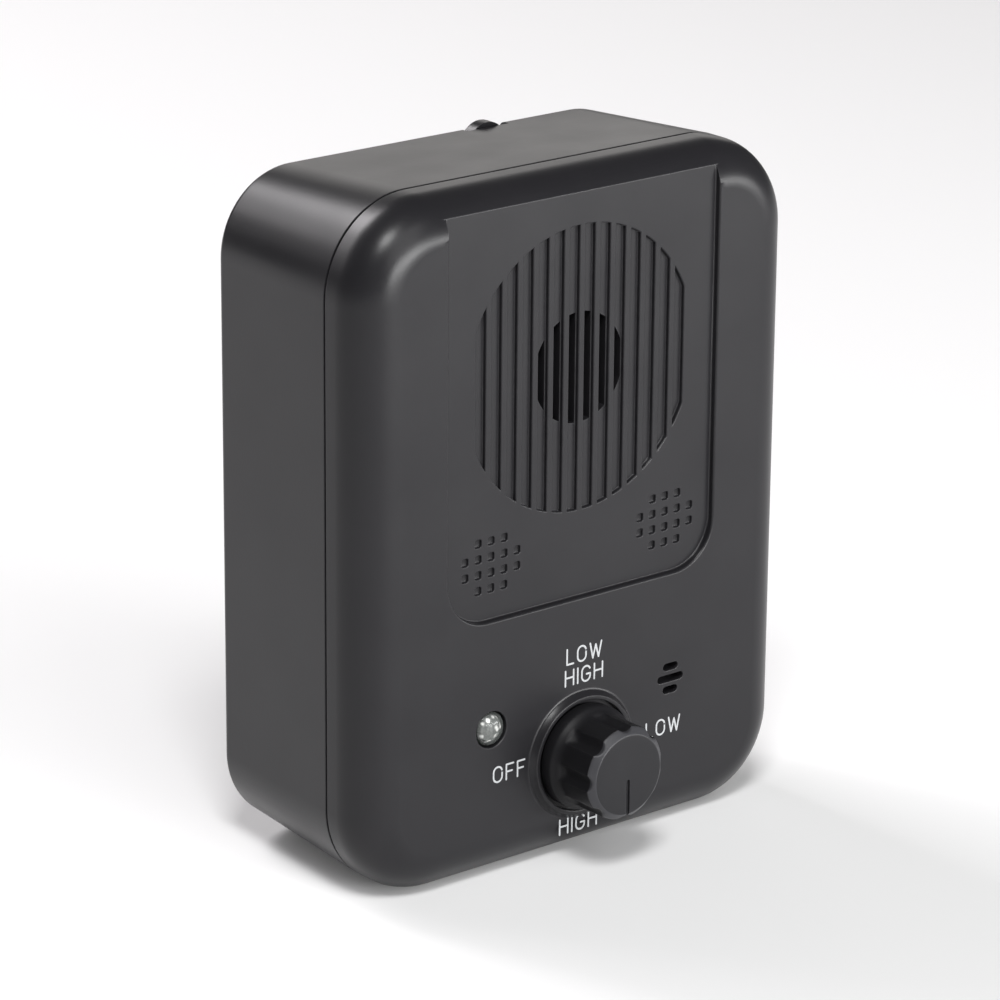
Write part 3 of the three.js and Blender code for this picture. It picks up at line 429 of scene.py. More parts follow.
def turned(name, profile, x=0.0, z=0.0, steps=64):
    """A body turned about an axis along Y from a profile of (radius, y)."""
    rings = []
    for radius, y in profile:
        radius = max(radius, 1e-6)
        angles = (2 * math.pi * i / steps for i in range(steps))
        rings.append([(x + radius * math.cos(a), y, z + radius * math.sin(a)) for a in angles])
    return from_rings(name, rings)


def box_solid(name, x, y, z):
    points = [(a, b, c) for c in z for b in y for a in x]
    faces = [(0, 1, 3, 2), (4, 6, 7, 5), (0, 4, 5, 1), (2, 3, 7, 6), (0, 2, 6, 4), (1, 5, 7, 3)]
    return new_object(name, points, faces)


def joined(name, members):
    """Several objects as one, without changing any face."""
    members = list(members)
    for o in bpy.context.selected_objects:
        o.select_set(False)
    for o in members:
        o.select_set(True)
    bpy.context.view_layer.objects.active = members[0]
    bpy.ops.object.join()
    members[0].name = name
    return members[0]


def applied(thing):
    """The object with its modifiers made final."""
    depsgraph = bpy.context.evaluated_depsgraph_get()
    mesh = bpy.data.meshes.new_from_object(thing.evaluated_get(depsgraph), depsgraph=depsgraph)
    thing.modifiers.clear()
    old, thing.data = thing.data, mesh
    bpy.data.meshes.remove(old)
    return thing


def combine(thing, operation, *others):
    """Adds to or cuts from thing, one operand after another."""
    for other in others:
        modifier = thing.modifiers.new(other.name, "BOOLEAN")
        modifier.object, modifier.operation, modifier.solver = other, operation, "EXACT"
        modifier.use_self = operation == "UNION"
    bpy.context.view_layer.update()
    applied(thing)
    for other in others:
        mesh = other.data
        bpy.data.objects.remove(other)
        bpy.data.meshes.remove(mesh)
    return thing


def dressed(thing, *paints, sharp=38, body="root", slot=None, stands_for=()):
    """Smooth shading with true edges kept, its materials, and its place in the frame."""
    thing.data.materials.clear()
    for paint in paints:
        thing.data.materials.append(paint.material)
    thing.data.shade_smooth()
    thing.data.set_sharp_from_angle(angle=math.radians(sharp))
    even = thing.modifiers.new("even_normals", "WEIGHTED_NORMAL")
    even.keep_sharp, even.weight = True, 80
    bpy.context.view_layer.update()
    applied(thing)
    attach(thing, body)
    if stands_for:
        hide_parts(*stands_for)
    faces = sum(len(p.vertices) - 2 for p in thing.data.polygons)
    print(thing.name, faces, "triangles")
    return thing


print("case corner points:", len(case_ring(0, 0)))

# %% [markdown]
# ## Node trees
#
# What repeats is placed by Geometry Nodes. A tree has named sizes, so that one tree makes the grille's
# grooves and, with other sizes, the slots that go right through. Each tree ends by making its copies real
# and giving them a material, because an instance has no mesh of its own to cut with or to export.

# %% Node trees
class Tree:
    def __init__(self, name):
        self.group = bpy.data.node_groups.new(name, "GeometryNodeTree")
        self.group.interface.new_socket("Geometry", in_out="INPUT", socket_type="NodeSocketGeometry")
        self.group.interface.new_socket("Geometry", in_out="OUTPUT", socket_type="NodeSocketGeometry")
        self.sizes = self.group.nodes.new("NodeGroupInput")
        self.result = self.group.nodes.new("NodeGroupOutput")

    def size(self, name, kind="NodeSocketFloat"):
        self.group.interface.new_socket(name, in_out="INPUT", socket_type=kind)
        return self.sizes.outputs[name]

    def start(self):
        return self.sizes.outputs["Geometry"]

    def node(self, kind, inputs=None, **settings):
        made = self.group.nodes.new(kind)
        for key, value in settings.items():
            setattr(made, key, value)
        for key, value in (inputs or {}).items():
            feed(self.group, value, made.inputs[key])
        return made

    def math(self, operation, *values):
        made = self.group.nodes.new("ShaderNodeMath")
        made.operation = operation
        for socket, value in zip(made.inputs, values):
            feed(self.group, value, socket)
        return made.outputs[0]

    def attribute(self, name):
        made = self.node("GeometryNodeInputNamedAttribute", {"Name": name}, data_type="FLOAT")
        return made.outputs["Attribute"]

    def vector(self, x, y, z):
        return self.node("ShaderNodeCombineXYZ", {"X": x, "Y": y, "Z": z}).outputs[0]

    def place(self):
        split = self.group.nodes.new("ShaderNodeSeparateXYZ")
        self.group.links.new(self.group.nodes.new("GeometryNodeInputPosition").outputs[0], split.inputs[0])
        return split.outputs

    def finish(self, geometry):
        real = self.node("GeometryNodeRealizeInstances", {"Geometry": geometry})
        painted = self.node("GeometryNodeSetMaterial", {"Geometry": real.outputs[0]})
        self.group.links.new(self.size("Material", "NodeSocketMaterial"), painted.inputs["Material"])
        self.group.links.new(painted.outputs[0], self.result.inputs[0])


def grown(name, tree, start, paint, **sizes):
    """The plain mesh that a tree makes from a starting object, which is used up."""
    modifier = start.modifiers.new(name, "NODES")
    modifier.node_group = tree.group
    wanted = {key.replace("_", " "): value for key, value in sizes.items()}
    wanted["Material"] = paint.material
    for item in tree.group.interface.items_tree:
        if item.in_out == "INPUT" and item.name in wanted:
            modifier[item.identifier] = wanted.pop(item.name)
    assert not wanted, wanted
    bpy.context.view_layer.update()
    applied(start)
    start.name = name
    face_outward(start.data, merge=False)
    return start


def set_attribute(thing, name, values):
    made = thing.data.attributes.new(name, "FLOAT", "POINT")
    made.data.foreach_set("value", np.array(values, np.float32))


print("tree helpers ready")

# %% [markdown]
# ## Cutters for the grille
#
# The grille is fourteen upright grooves whose ends follow one circle, and the six in the middle go right
# through behind a smaller circle. Cutting a long groove and then trimming it would leave sharp ends. Here a
# single cutter knows, at each of its points, how far across and how deep it is, and the tree sets its ends
# on the circle for the place where it stands. Its top flares out and its bottom is rounded, so the cut
# leaves the soft lips of a moulding.

# %% Grille cutters
def groove_cutter(name, levels, across_steps=6):
    """One cutter in its own units: levels are (spread, drop), in metres, from above the floor to the bottom."""
    across = [2 * i / across_steps - 1 for i in range(across_steps + 1)]
    outline = [(a, -1) for a in across] + [(a, 1) for a in reversed(across)]
    points, side, end, spread, drop = [], [], [], [], []
    for level, (grow, depth) in enumerate(levels):
        for a, e in outline:
            points.append((a, level, e))
            side.append(a)
            end.append(e)
            spread.append(grow)
            drop.append(depth)
    made = new_object(name, points, ring_faces(len(outline), len(levels)), recalculate=False)
    for label, values in (("side", side), ("end", end), ("spread", spread), ("drop", drop)):
        set_attribute(made, label, values)
    return made


def grille_tree():
    tree = Tree("grille_slots")
    count = tree.size("Count", "NodeSocketInt")
    pitch, width = tree.size("Pitch"), tree.size("Width")
    radius, middle, floor = tree.size("Radius"), tree.size("Middle"), tree.size("Floor")
    first = tree.math("MULTIPLY", tree.math("SUBTRACT", count, 1), tree.math("MULTIPLY", pitch, -0.5))
    line = tree.node(
        "GeometryNodeMeshLine",
        {"Count": count, "Start Location": tree.vector(first, 0, 0), "Offset": tree.vector(pitch, 0, 0)},
    )
    marked = tree.node(
        "GeometryNodeStoreNamedAttribute",
        {"Geometry": line.outputs[0], "Name": "slot_x", "Value": tree.place()[0]},
        data_type="FLOAT",
        domain="POINT",
    )
    copies = tree.node(
        "GeometryNodeInstanceOnPoints", {"Points": marked.outputs[0], "Instance": tree.start()}
    )
    real = tree.node("GeometryNodeRealizeInstances", {"Geometry": copies.outputs[0]})
    spread = tree.attribute("spread")
    half = tree.math("ADD", tree.math("MULTIPLY", width, 0.5), spread)
    x = tree.math("ADD", tree.attribute("slot_x"), tree.math("MULTIPLY", tree.attribute("side"), half))
    reach = tree.math("POWER", tree.math("ADD", radius, spread), 2)
    chord = tree.math("SQRT", tree.math("SUBTRACT", reach, tree.math("MULTIPLY", x, x)))
    z = tree.math("ADD", middle, tree.math("MULTIPLY", tree.attribute("end"), chord))
    y = tree.math("ADD", floor, tree.attribute("drop"))
    moved = tree.node("GeometryNodeSetPosition", {"Geometry": real.outputs[0], "Position": tree.vector(x, y, z)})
    tree.finish(moved.outputs[0])
    return tree


LIP = 0.22 * MM
GROOVE_DEPTH = 0.65 * MM
GROOVE_FOOT = 0.12 * MM


def lip_levels(radius, depth, foot, steps=4):
    """Levels of a cutter whose top edge flares by a quarter round and whose bottom is rounded."""
    return [(radius, -1 * MM)] + flared(radius, steps) + rounded_in(foot, 3, depth)


slots = grille_tree()
SLOT_PITCH, SLOT_WIDTH = 2.74 * MM, 1.7 * MM
grille = dict(Pitch=SLOT_PITCH, Middle=GRILLE_HEIGHT, Floor=RECESS)
grooves = grown(
    "grooves", slots, groove_cutter("groove", lip_levels(LIP, GROOVE_DEPTH, GROOVE_FOOT)), case_plastic,
    Count=14, Width=SLOT_WIDTH, Radius=20.5 * MM, **grille,
)
mouth = grown(
    "mouth", slots, groove_cutter("slot", [(0, 0.3 * MM), (0, 4 * MM)]), case_plastic,
    Count=6, Width=SLOT_WIDTH - 2.6 * GROOVE_FOOT, Radius=8 * MM, **grille,
)
print("grooves:", len(grooves.data.polygons), "faces; through slots:", len(mouth.data.polygons))

# %% [markdown]
# ## Cutters for the dimples
#
# Below the grille are two patches of small square dimples, three, five, five and three to a patch. That is a
# grid of five by four without its corners. The tree lays out the grid, drops the corners and stands the
# whole patch at both sides, so the pattern is one rule instead of thirty-two places.

# %% Dimple cutters
def pad_cutter(name, half, corner, levels):
    def outline_at(grow):
        return rounded_outline(-half - grow, half + grow, -half - grow, half + grow, corner + grow, 3)

    return stacked(name, levels, outline_at)


def dimple_tree():
    tree = Tree("dimple_patches")
    pitch, aside = tree.size("Pitch"), tree.size("Aside")
    floor, middle = tree.size("Floor"), tree.size("Middle")
    grid = tree.node(
        "GeometryNodeMeshGrid",
        {
            "Size X": tree.math("MULTIPLY", pitch, 4), "Size Y": tree.math("MULTIPLY", pitch, 3),
            "Vertices X": 5, "Vertices Y": 4,
        },
    )
    upright = tree.node(
        "GeometryNodeTransform", {"Geometry": grid.outputs[0], "Rotation": (math.pi / 2, 0, 0)}
    )
    x, _, z = tree.place()
    outer = tree.math("GREATER_THAN", tree.math("ABSOLUTE", x), tree.math("MULTIPLY", pitch, 1.75))
    upper = tree.math("GREATER_THAN", tree.math("ABSOLUTE", z), tree.math("MULTIPLY", pitch, 1.25))
    kept = tree.node(
        "GeometryNodeDeleteGeometry",
        {"Geometry": upright.outputs[0], "Selection": tree.math("MULTIPLY", outer, upper)},
        domain="POINT",
    )
    patch = tree.node("GeometryNodeInstanceOnPoints", {"Points": kept.outputs[0], "Instance": tree.start()})
    sides = tree.node(
        "GeometryNodeMeshLine",
        {
            "Count": 2,
            "Start Location": tree.vector(tree.math("MULTIPLY", aside, -1), floor, middle),
            "Offset": tree.vector(tree.math("MULTIPLY", aside, 2), 0, 0),
        },
    )
    both = tree.node("GeometryNodeInstanceOnPoints", {"Points": sides.outputs[0], "Instance": patch.outputs[0]})
    tree.finish(both.outputs[0])
    return tree


dimple = pad_cutter("dimple", 0.6 * MM, 0.3 * MM, lip_levels(0.12 * MM, 0.5 * MM, 0.1 * MM, 3))
dimples = grown(
    "dimples", dimple_tree(), dimple, case_plastic,
    Pitch=2.3 * MM, Aside=15.8 * MM, Floor=RECESS, Middle=GRILLE_HEIGHT - 25.3 * MM,
)
print("dimples:", len(dimples.data.polygons), "faces")

# %% [markdown]
# ## Front cover
#
# The cover is a shallow tray: its face rolls over into the sides with a large radius, and a thin tongue at
# its rim slips inside the rear cover. One stack of rings runs from the face out over the rolled edge, back
# to the parting line, round the tongue and in again to the inside of the face. The recess, grille, dimples
# and holes are then cut from it, each with a cutter that leaves a rounded lip.

# %% Front cover
LIP_INSET = WALL / 2 + 0.15 * MM
PART_EDGE = 0.18 * MM


def front_tray():
    rings = [(FACE + FACE_ROLL * (1 - math.cos(a)), FACE_ROLL * (1 - math.sin(a))) for a in quarter(18)]
    rings += [(SPLIT_FRONT - PART_EDGE, 0), (SPLIT_FRONT - 0.05 * MM, 0.05 * MM), (SPLIT_FRONT, PART_EDGE)]
    rings += [(SPLIT_FRONT, LIP_INSET), (front_high.y - 0.3 * MM, LIP_INSET), (front_high.y, LIP_INSET + 0.2 * MM)]
    rings += [(front_high.y, WALL)]
    inner = FACE_ROLL - WALL
    for a in reversed(quarter(8)):
        rings.append((INNER_FACE + inner * (1 - math.cos(a)), WALL + inner * (1 - math.sin(a))))
    return from_rings("front_cover_body", [case_ring(y, inset) for y, inset in rings])


def recess_cutter():
    half, low, corner = 24.1 * MM, GRILLE_HEIGHT - 33.3 * MM, 7 * MM
    roll, foot = 0.35 * MM, 0.2 * MM

    def outline_at(grow):
        return rounded_outline(-half - grow, half + grow, low - grow, HEIGHT + 20 * MM, corner + grow, 14)

    levels = [(roll, FACE - 3 * MM)] + flared(roll, 5, FACE) + rounded_in(foot, 4, RECESS)
    return stacked("recess", levels, outline_at)


def hole_cutter(name, radius, x, z, lip=0.2 * MM, low=FACE, high=INNER_FACE + 3 * MM, steps=48):
    profile = [(radius + lip, low - 3 * MM)]
    profile += [(radius + lip * (1 - math.sin(a)), low + lip * (1 - math.cos(a))) for a in quarter(4)]
    return turned(name, profile + [(radius, high)], x, z, steps)


def slot_outline(half_length, half_width, steps=8):
    outline = []
    for side in (1, -1):
        for i in range(steps + 1):
            angle = side * math.pi / 2 - math.pi * i / steps
            x = side * (half_length - half_width) + half_width * math.cos(angle)
            outline.append((x, half_width * math.sin(angle)))
    return outline


def microphone_cutters():
    x0, _, z0 = middle("microphone_capsule")
    levels = [(0.12 * MM, FACE - 1 * MM), (0.12 * MM, FACE), (0.035 * MM, FACE + 0.035 * MM)]
    levels += [(0, FACE + 0.12 * MM), (0, INNER_FACE + 1 * MM)]
    made = []
    for row, length in enumerate((2.75 * MM, 4.8 * MM, 2.75 * MM)):
        z = z0 + (1 - row) * 1.75 * MM
        made.append(stacked("vent", levels, lambda grow: slot_outline(length / 2 + grow, 0.55 * MM + grow), x0, z))
    return joined("vents", made)


def front_posts():
    half_board, low, high = 21.5 * MM, 8 * MM, 32 * MM
    flange_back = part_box("speaker_screw_1")[1].y - 1.45 * MM
    posts = [(3 * MM, SPLIT_FRONT, x, z) for x, z in CASE_POSTS]
    board_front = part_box("main_board")[0].y
    posts += [(2.4 * MM, board_front, x, z) for x in (-half_board, half_board) for z in (low, high)]
    places = [middle(f"speaker_screw_{i}") for i in (1, 2, 3)]
    posts += [(2 * MM, flange_back, place.x, place.z) for place in places]
    return joined("posts", [
        turned("post", [(r, INNER_FACE - WELD), (r, top)], x, z, 24) for r, top, x, z in posts
    ])


def collar():
    """The raised ring round the knob, with a rounded rim and a sloping outer side."""
    foot, top, bore, high = 9.4 * MM, 8.9 * MM, 8.2 * MM, FACE - front_low.y
    rim = 0.18 * MM
    profile = [(bore, FACE + 0.4 * MM), (foot + 0.25 * MM, FACE + 0.4 * MM), (foot + 0.25 * MM, FACE)]
    profile += [(foot + 0.06 * MM, FACE - 0.06 * MM), (foot, FACE - 0.25 * MM)]
    profile += [(top - rim + rim * math.cos(a), FACE - high + rim - rim * math.sin(a)) for a in quarter(4)]
    profile += [(bore + rim - rim * math.sin(a), FACE - high + rim - rim * math.cos(a)) for a in quarter(4)]
    steps = 96
    points = []
    for i in range(steps):
        angle = 2 * math.pi * i / steps
        points += [(r * math.cos(angle), y, KNOB_HEIGHT + r * math.sin(angle)) for r, y in profile]
    return new_object("collar", points, ring_faces(len(profile), steps, closed=True))


LAMP_X, _, LAMP_Z = middle("lamp_lens")
front = front_tray()
PAD_HALF, PAD_LOW, PAD_HIGH = 25.1 * MM, 37.7 * MM, 93.7 * MM
pad = box_solid("pad", (-PAD_HALF, PAD_HALF), (INNER_FACE - WELD, INNER_FACE + 1 * MM), (PAD_LOW, PAD_HIGH))
combine(front, "UNION", front_posts(), pad)
combine(front, "DIFFERENCE", recess_cutter())
holes = joined("holes", [
    hole_cutter("lamp_hole", 2.7 * MM, LAMP_X, LAMP_Z, 0.15 * MM),
    hole_cutter("bushing_hole", 4.15 * MM, 0, KNOB_HEIGHT),
    microphone_cutters(),
])
combine(front, "DIFFERENCE", grooves, dimples, holes, mouth)
front = joined("front_cover_shell", [front, collar()])
dressed(front, case_plastic, slot="case_plastic", stands_for=["front_cover"])

# %% [markdown]
# ## Rear cover
#
# The rear cover is the deeper tray. Its sides lean in a little towards the back so that it leaves its mould,
# and its rim has a small round. Inside are the posts for the four screws, a pocket behind each keyhole and
# the battery bay. The same rings and cutters make it, and a boxed union adds what stands inside.

# %% Rear cover
BATTERY_X = middle("battery_case").x
door_low, door_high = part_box("battery_door")
bay_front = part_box("battery_case")[0].y - 0.3 * MM
BAY_WALL, DOOR_GAP = 1.2 * MM, 0.25 * MM
BAY_X = (BATTERY_X - 14 * MM, BATTERY_X + 14 * MM)
BAY_Z = (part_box("battery_case")[0].z - 0.3 * MM, HEIGHT - 4.5 * MM)
DOOR_LOW = BAY_Z[0] + 3.5 * MM
KEYHOLES = [(side * (HALF_WIDTH - 9.2 * MM), HEIGHT - 26 * MM) for side in (-1, 1)]


def rear_tray():
    rings = [(REAR - REAR_ROLL * (1 - math.cos(a)), DRAFT + REAR_ROLL * (1 - math.sin(a))) for a in quarter(8)]
    rings += [(SPLIT_REAR + PART_EDGE, 0), (SPLIT_REAR + 0.05 * MM, 0.05 * MM), (SPLIT_REAR, PART_EDGE)]
    rings += [(SPLIT_REAR, WALL / 2), (front_high.y + 0.15 * MM, WALL / 2), (front_high.y + 0.15 * MM, WALL)]
    rings += [(INNER_REAR, WALL + DRAFT)]
    return from_rings("rear_cover_body", [case_ring(y, inset) for y, inset in rings])


def grown_span(span, by):
    return (span[0] - by, span[1] + by)


def keyhole_outline(grow, steps=12):
    """A round head hole with a narrower slot rising from it, made wider by grow."""
    head, shank, rise = 3.7 * MM + grow, 1.9 * MM + grow, 8 * MM
    turn = math.asin(shank / head)
    start, end = math.pi / 2 + turn, math.pi * 2.5 - turn
    outline = []
    for i in range(2 * steps + 1):
        angle = start + (end - start) * i / (2 * steps)
        outline.append((head * math.cos(angle), head * math.sin(angle)))
    outline += [(shank * math.cos(math.pi * i / steps), rise + shank * math.sin(math.pi * i / steps))
                for i in range(steps + 1)]
    return outline


def keyhole_cutter(x0, z0):
    lip = 0.3 * MM
    levels = [(lip, REAR + 1 * MM)] + flared(lip, 4, REAR, -1) + [(0, INNER_REAR - 1 * MM)]
    return stacked("keyhole", levels, keyhole_outline, x0, z0)


def keyhole_pocket(x0, z0, wall):
    return box_solid(
        "pocket",
        (x0 - 4.7 * MM - wall, x0 + 4.7 * MM + wall),
        (INNER_REAR - 3.6 * MM - wall, INNER_REAR + (WELD if wall else 0)),
        (z0 - 4.7 * MM - wall, z0 + 10.9 * MM + wall),
    )


def opening_cutter():
    """The door's opening, with a rounded lip."""
    def outline_at(grow):
        return rounded_outline(*grown_span(BAY_X, grow), DOOR_LOW - grow, BAY_Z[1] + grow, 0.3 * MM + grow, 4)

    levels = [(0.2 * MM, REAR + 1 * MM), (0.2 * MM, REAR), (0.06 * MM, REAR - 0.06 * MM)]
    levels += [(0, REAR - 0.2 * MM), (0, INNER_REAR - WELD)]
    return stacked("door_opening", levels, outline_at)


def rear_post_cutter(x, z):
    seat = SPLIT_REAR + 3 * MM
    profile = [(1.4 * MM, SPLIT_REAR - 1 * MM), (1.4 * MM, seat), (2.75 * MM, seat), (2.75 * MM, REAR - 0.25 * MM)]
    profile += [(2.82 * MM, REAR - 0.08 * MM), (3 * MM, REAR), (3 * MM, REAR + 1 * MM)]
    return turned("screw_way", profile, x, z, 32)


rear = rear_tray()
foot = box_solid("foot", (-24 * MM, 24 * MM), (front_high.y + 0.45 * MM, 12 * MM), (0, WALL))
post = [(3.6 * MM, SPLIT_REAR), (3.6 * MM, INNER_REAR + WELD)]
posts = [turned("post", post, x, z, 32) for x, z in CASE_POSTS]
bay_y = (bay_front - BAY_WALL, INNER_REAR + WELD)
bay = box_solid("bay", grown_span(BAY_X, BAY_WALL), bay_y, grown_span(BAY_Z, BAY_WALL))
pockets = [keyhole_pocket(x, z, 1 * MM) for x, z in KEYHOLES]
combine(rear, "UNION", foot, joined("posts", posts), bay, joined("pockets", pockets))
hollows = [keyhole_pocket(x, z, 0) for x, z in KEYHOLES]
hollows.append(box_solid("bay_room", BAY_X, (bay_front, INNER_REAR), BAY_Z))
lead_y = middle("battery_case").y
lead_way = box_solid(
    "lead_way", (BAY_X[0] - 3 * MM, BAY_X[0] + 1 * MM), (lead_y - 3 * MM, lead_y + 3 * MM),
    (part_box("battery_case")[1].z + 1 * MM, BAY_Z[1] - BAY_WALL),
)
notch = box_solid(
    "latch_notch", (BATTERY_X - 3.75 * MM, BATTERY_X + 3.75 * MM), (INNER_REAR - 0.25 * MM, REAR + 1 * MM),
    (BAY_Z[1] - 1 * MM, HEIGHT + 1 * MM),
)
combine(rear, "DIFFERENCE", joined("hollows", hollows), lead_way, opening_cutter(), notch)
ways = [rear_post_cutter(x, z) for x, z in CASE_POSTS] + [keyhole_cutter(x, z) for x, z in KEYHOLES]
combine(rear, "DIFFERENCE", joined("ways", ways))
rear.name = "rear_cover_shell"
dressed(rear, case_plastic, slot="case_plastic", stands_for=["rear_cover"])

# %% [markdown]
# ## Battery door
#
# The door is a flat plate with a springy tab at its upper edge: two slits free the tab, and its round crown
# shows above the case. Three grooves give the thumb a hold, and two short hooks hold the lower edge.

# %% Battery door
def plate(name, outline_at, y_back, y_front, edge):
    """A flat body whose outer edge at y_front is rounded. outline_at(grow) gives its outline."""
    return stacked(name, [(0, y_back)] + rounded_in(edge, 4, y_front), outline_at)


def door_outline(grow):
    x = grown_span((door_low.x, door_high.x), grow)
    return rounded_outline(*x, DOOR_LOW + DOOR_GAP - grow, BAY_Z[1] - DOOR_GAP + grow, 0.4 * MM, 4)


def latch_outline(grow, steps=16):
    reach = 3.5 * MM + grow
    angles = [math.pi * i / steps for i in range(steps + 1)]
    centre = door_high.z - 3.5 * MM
    outline = [(BATTERY_X + reach * math.cos(a), centre + reach * math.sin(a)) for a in angles]
    low = door_high.z - 10.5 * MM
    return [(BATTERY_X + reach, low)] + outline + [(BATTERY_X - reach, low)]


def latch_slits():
    top = BAY_Z[1] - DOOR_GAP
    made = []
    for side in (-1, 1):
        x = BATTERY_X + side * 3.9 * MM
        outline = rounded_outline(x - 0.4 * MM, x + 0.4 * MM, top - 7 * MM, top + 2 * MM, 0.38 * MM, 4)
        ends = (INNER_REAR - 1 * MM, REAR + 1 * MM)
        made.append(from_rings("slit", [flat_ring(outline, y) for y in ends]))
    return joined("slits", made)


def grip_grooves():
    """A groove with rounded lips, repeated down the door by a tree."""
    tree = Tree("grip_rows")
    rows, pitch = tree.size("Rows", "NodeSocketInt"), tree.size("Pitch")
    line = tree.node(
        "GeometryNodeMeshLine",
        {"Count": rows, "Start Location": tree.vector(tree.size("X"), tree.size("Y"), tree.size("Top")),
         "Offset": tree.vector(0, 0, tree.math("MULTIPLY", pitch, -1))},
    )
    copies = tree.node("GeometryNodeInstanceOnPoints", {"Points": line.outputs[0], "Instance": tree.start()})
    tree.finish(copies.outputs[0])
    half_length, half_width = 5 * MM, 0.4 * MM

    def outline_at(grow):
        long, wide = half_length + grow, half_width + grow
        return rounded_outline(-half_length - grow, long, -half_width - grow, wide, wide, 5)

    levels = [(grow, -y) for grow, y in lip_levels(0.15 * MM, 0.5 * MM, 0.2 * MM, 3)]
    top = BAY_Z[1] - DOOR_GAP - 7 * MM - 2 * MM
    return grown(
        "grips", tree, stacked("grip", levels, outline_at), case_plastic,
        Rows=3, Pitch=1.6 * MM, X=BATTERY_X, Y=REAR, Top=top,
    )


def door_hooks():
    made = []
    for side in (-1, 1):
        x = BATTERY_X + side * ((door_high.x - door_low.x) / 2 - 5 * MM)
        span, outer, low = (x - 2 * MM, x + 2 * MM), INNER_REAR - DOOR_GAP, DOOR_LOW + DOOR_GAP
        made.append(box_solid("hook", span, (outer - 1 * MM, outer), (low - 1.5 * MM, low + 1 * MM)))
        made.append(box_solid("root", span, (outer - 1 * MM, INNER_REAR + WELD), (low + WELD, low + 1 * MM)))
    return made


door = plate("battery_door_plate", door_outline, INNER_REAR, REAR, 0.25 * MM)
combine(door, "DIFFERENCE", latch_slits(), grip_grooves())
combine(door, "UNION", plate("latch", latch_outline, INNER_REAR, REAR, 0.25 * MM), *door_hooks())
dressed(door, case_plastic, body="door", slot="case_plastic", stands_for=["battery_door"])

# %% [markdown]
# ## Knob
#
# The knob is turned in shape, with eight shallow flutes round its grip. Cutting the flutes with cylinders
# would leave knife edges between them. Instead a plain turned body carries, at each point, its angle and
# its height's radius, and a tree pulls the grip in to the flute's arc wherever that lies deeper. The number
# and depth of the flutes stay inputs of the tree.

# %% Knob
KNOB_TOP = knob_low.y
GRIP, SKIRT, CAP = 6.9 * MM, 7.7 * MM, 5.9 * MM
GRIP_START, SKIRT_TOP, BEVEL = FACE - 4.2 * MM, FACE - 2.4 * MM, 0.9 * MM
INNER_ROWS = 9


def knob_profile():
    """Points (radius, y) from the bore inside, round the foot and up to the middle of the top."""
    hollow, roof, foot = 6.75 * MM, FACE - 3.6 * MM, FACE - 0.5 * MM
    points = [(3.1 * MM, KNOB_TOP + 1.6 * MM), (3.1 * MM, roof), (hollow, roof), (hollow, foot), (7.5 * MM, foot)]
    points += [(SKIRT - 0.2 * MM * (1 - math.sin(a)), foot - 0.2 * MM * (1 - math.cos(a))) for a in quarter(3)]
    points += [(SKIRT, SKIRT_TOP + 0.2 * MM), (SKIRT - 0.05 * MM, SKIRT_TOP)]
    for i in range(1, 11):
        share = i / 10
        points.append((GRIP + (SKIRT - GRIP) * (1 - share) ** 2.2, SKIRT_TOP + (GRIP_START - SKIRT_TOP) * share))
    bevel_start = KNOB_TOP + BEVEL
    points += [(GRIP, GRIP_START + (bevel_start - GRIP_START) * i / 16) for i in range(1, 16)]
    points += [
        (GRIP - 0.08 * MM * (1 - math.cos(a)), bevel_start + 0.12 * MM - 0.12 * MM * math.sin(a)) for a in quarter(3)
    ]
    points += [(GRIP + (CAP - GRIP) * i / 6, bevel_start + (KNOB_TOP - bevel_start) * i / 6) for i in range(1, 6)]
    points += [(CAP + 0.08 * MM, KNOB_TOP + 0.08 * MM), (CAP - 0.04 * MM, KNOB_TOP + 0.01 * MM)]
    points += [(CAP - 0.2 * MM, KNOB_TOP)]
    points += [(CAP * share, KNOB_TOP) for share in (0.8, 0.5, 0.2, 0)]
    return points


def knob_blank(steps=240):
    points, angles, radii, flutes = [], [], [], []
    profile = knob_profile()
    for row, (radius, y) in enumerate(profile):
        outer = row >= INNER_ROWS
        on_grip = min(1, max(0, (GRIP_START + 0.9 * MM - y) / (1.2 * MM))) if outer else 0
        for i in range(steps):
            angle = 2 * math.pi * i / steps
            points.append((radius * math.sin(angle), y, KNOB_HEIGHT + radius * math.cos(angle)))
            angles.append(angle)
            radii.append(radius)
            flutes.append(on_grip)
    made = new_object("knob_blank", points, ring_faces(steps, len(profile)), recalculate=False)
    for label, values in (("turn", angles), ("reach", radii), ("flute", flutes)):
        set_attribute(made, label, values)
    return made


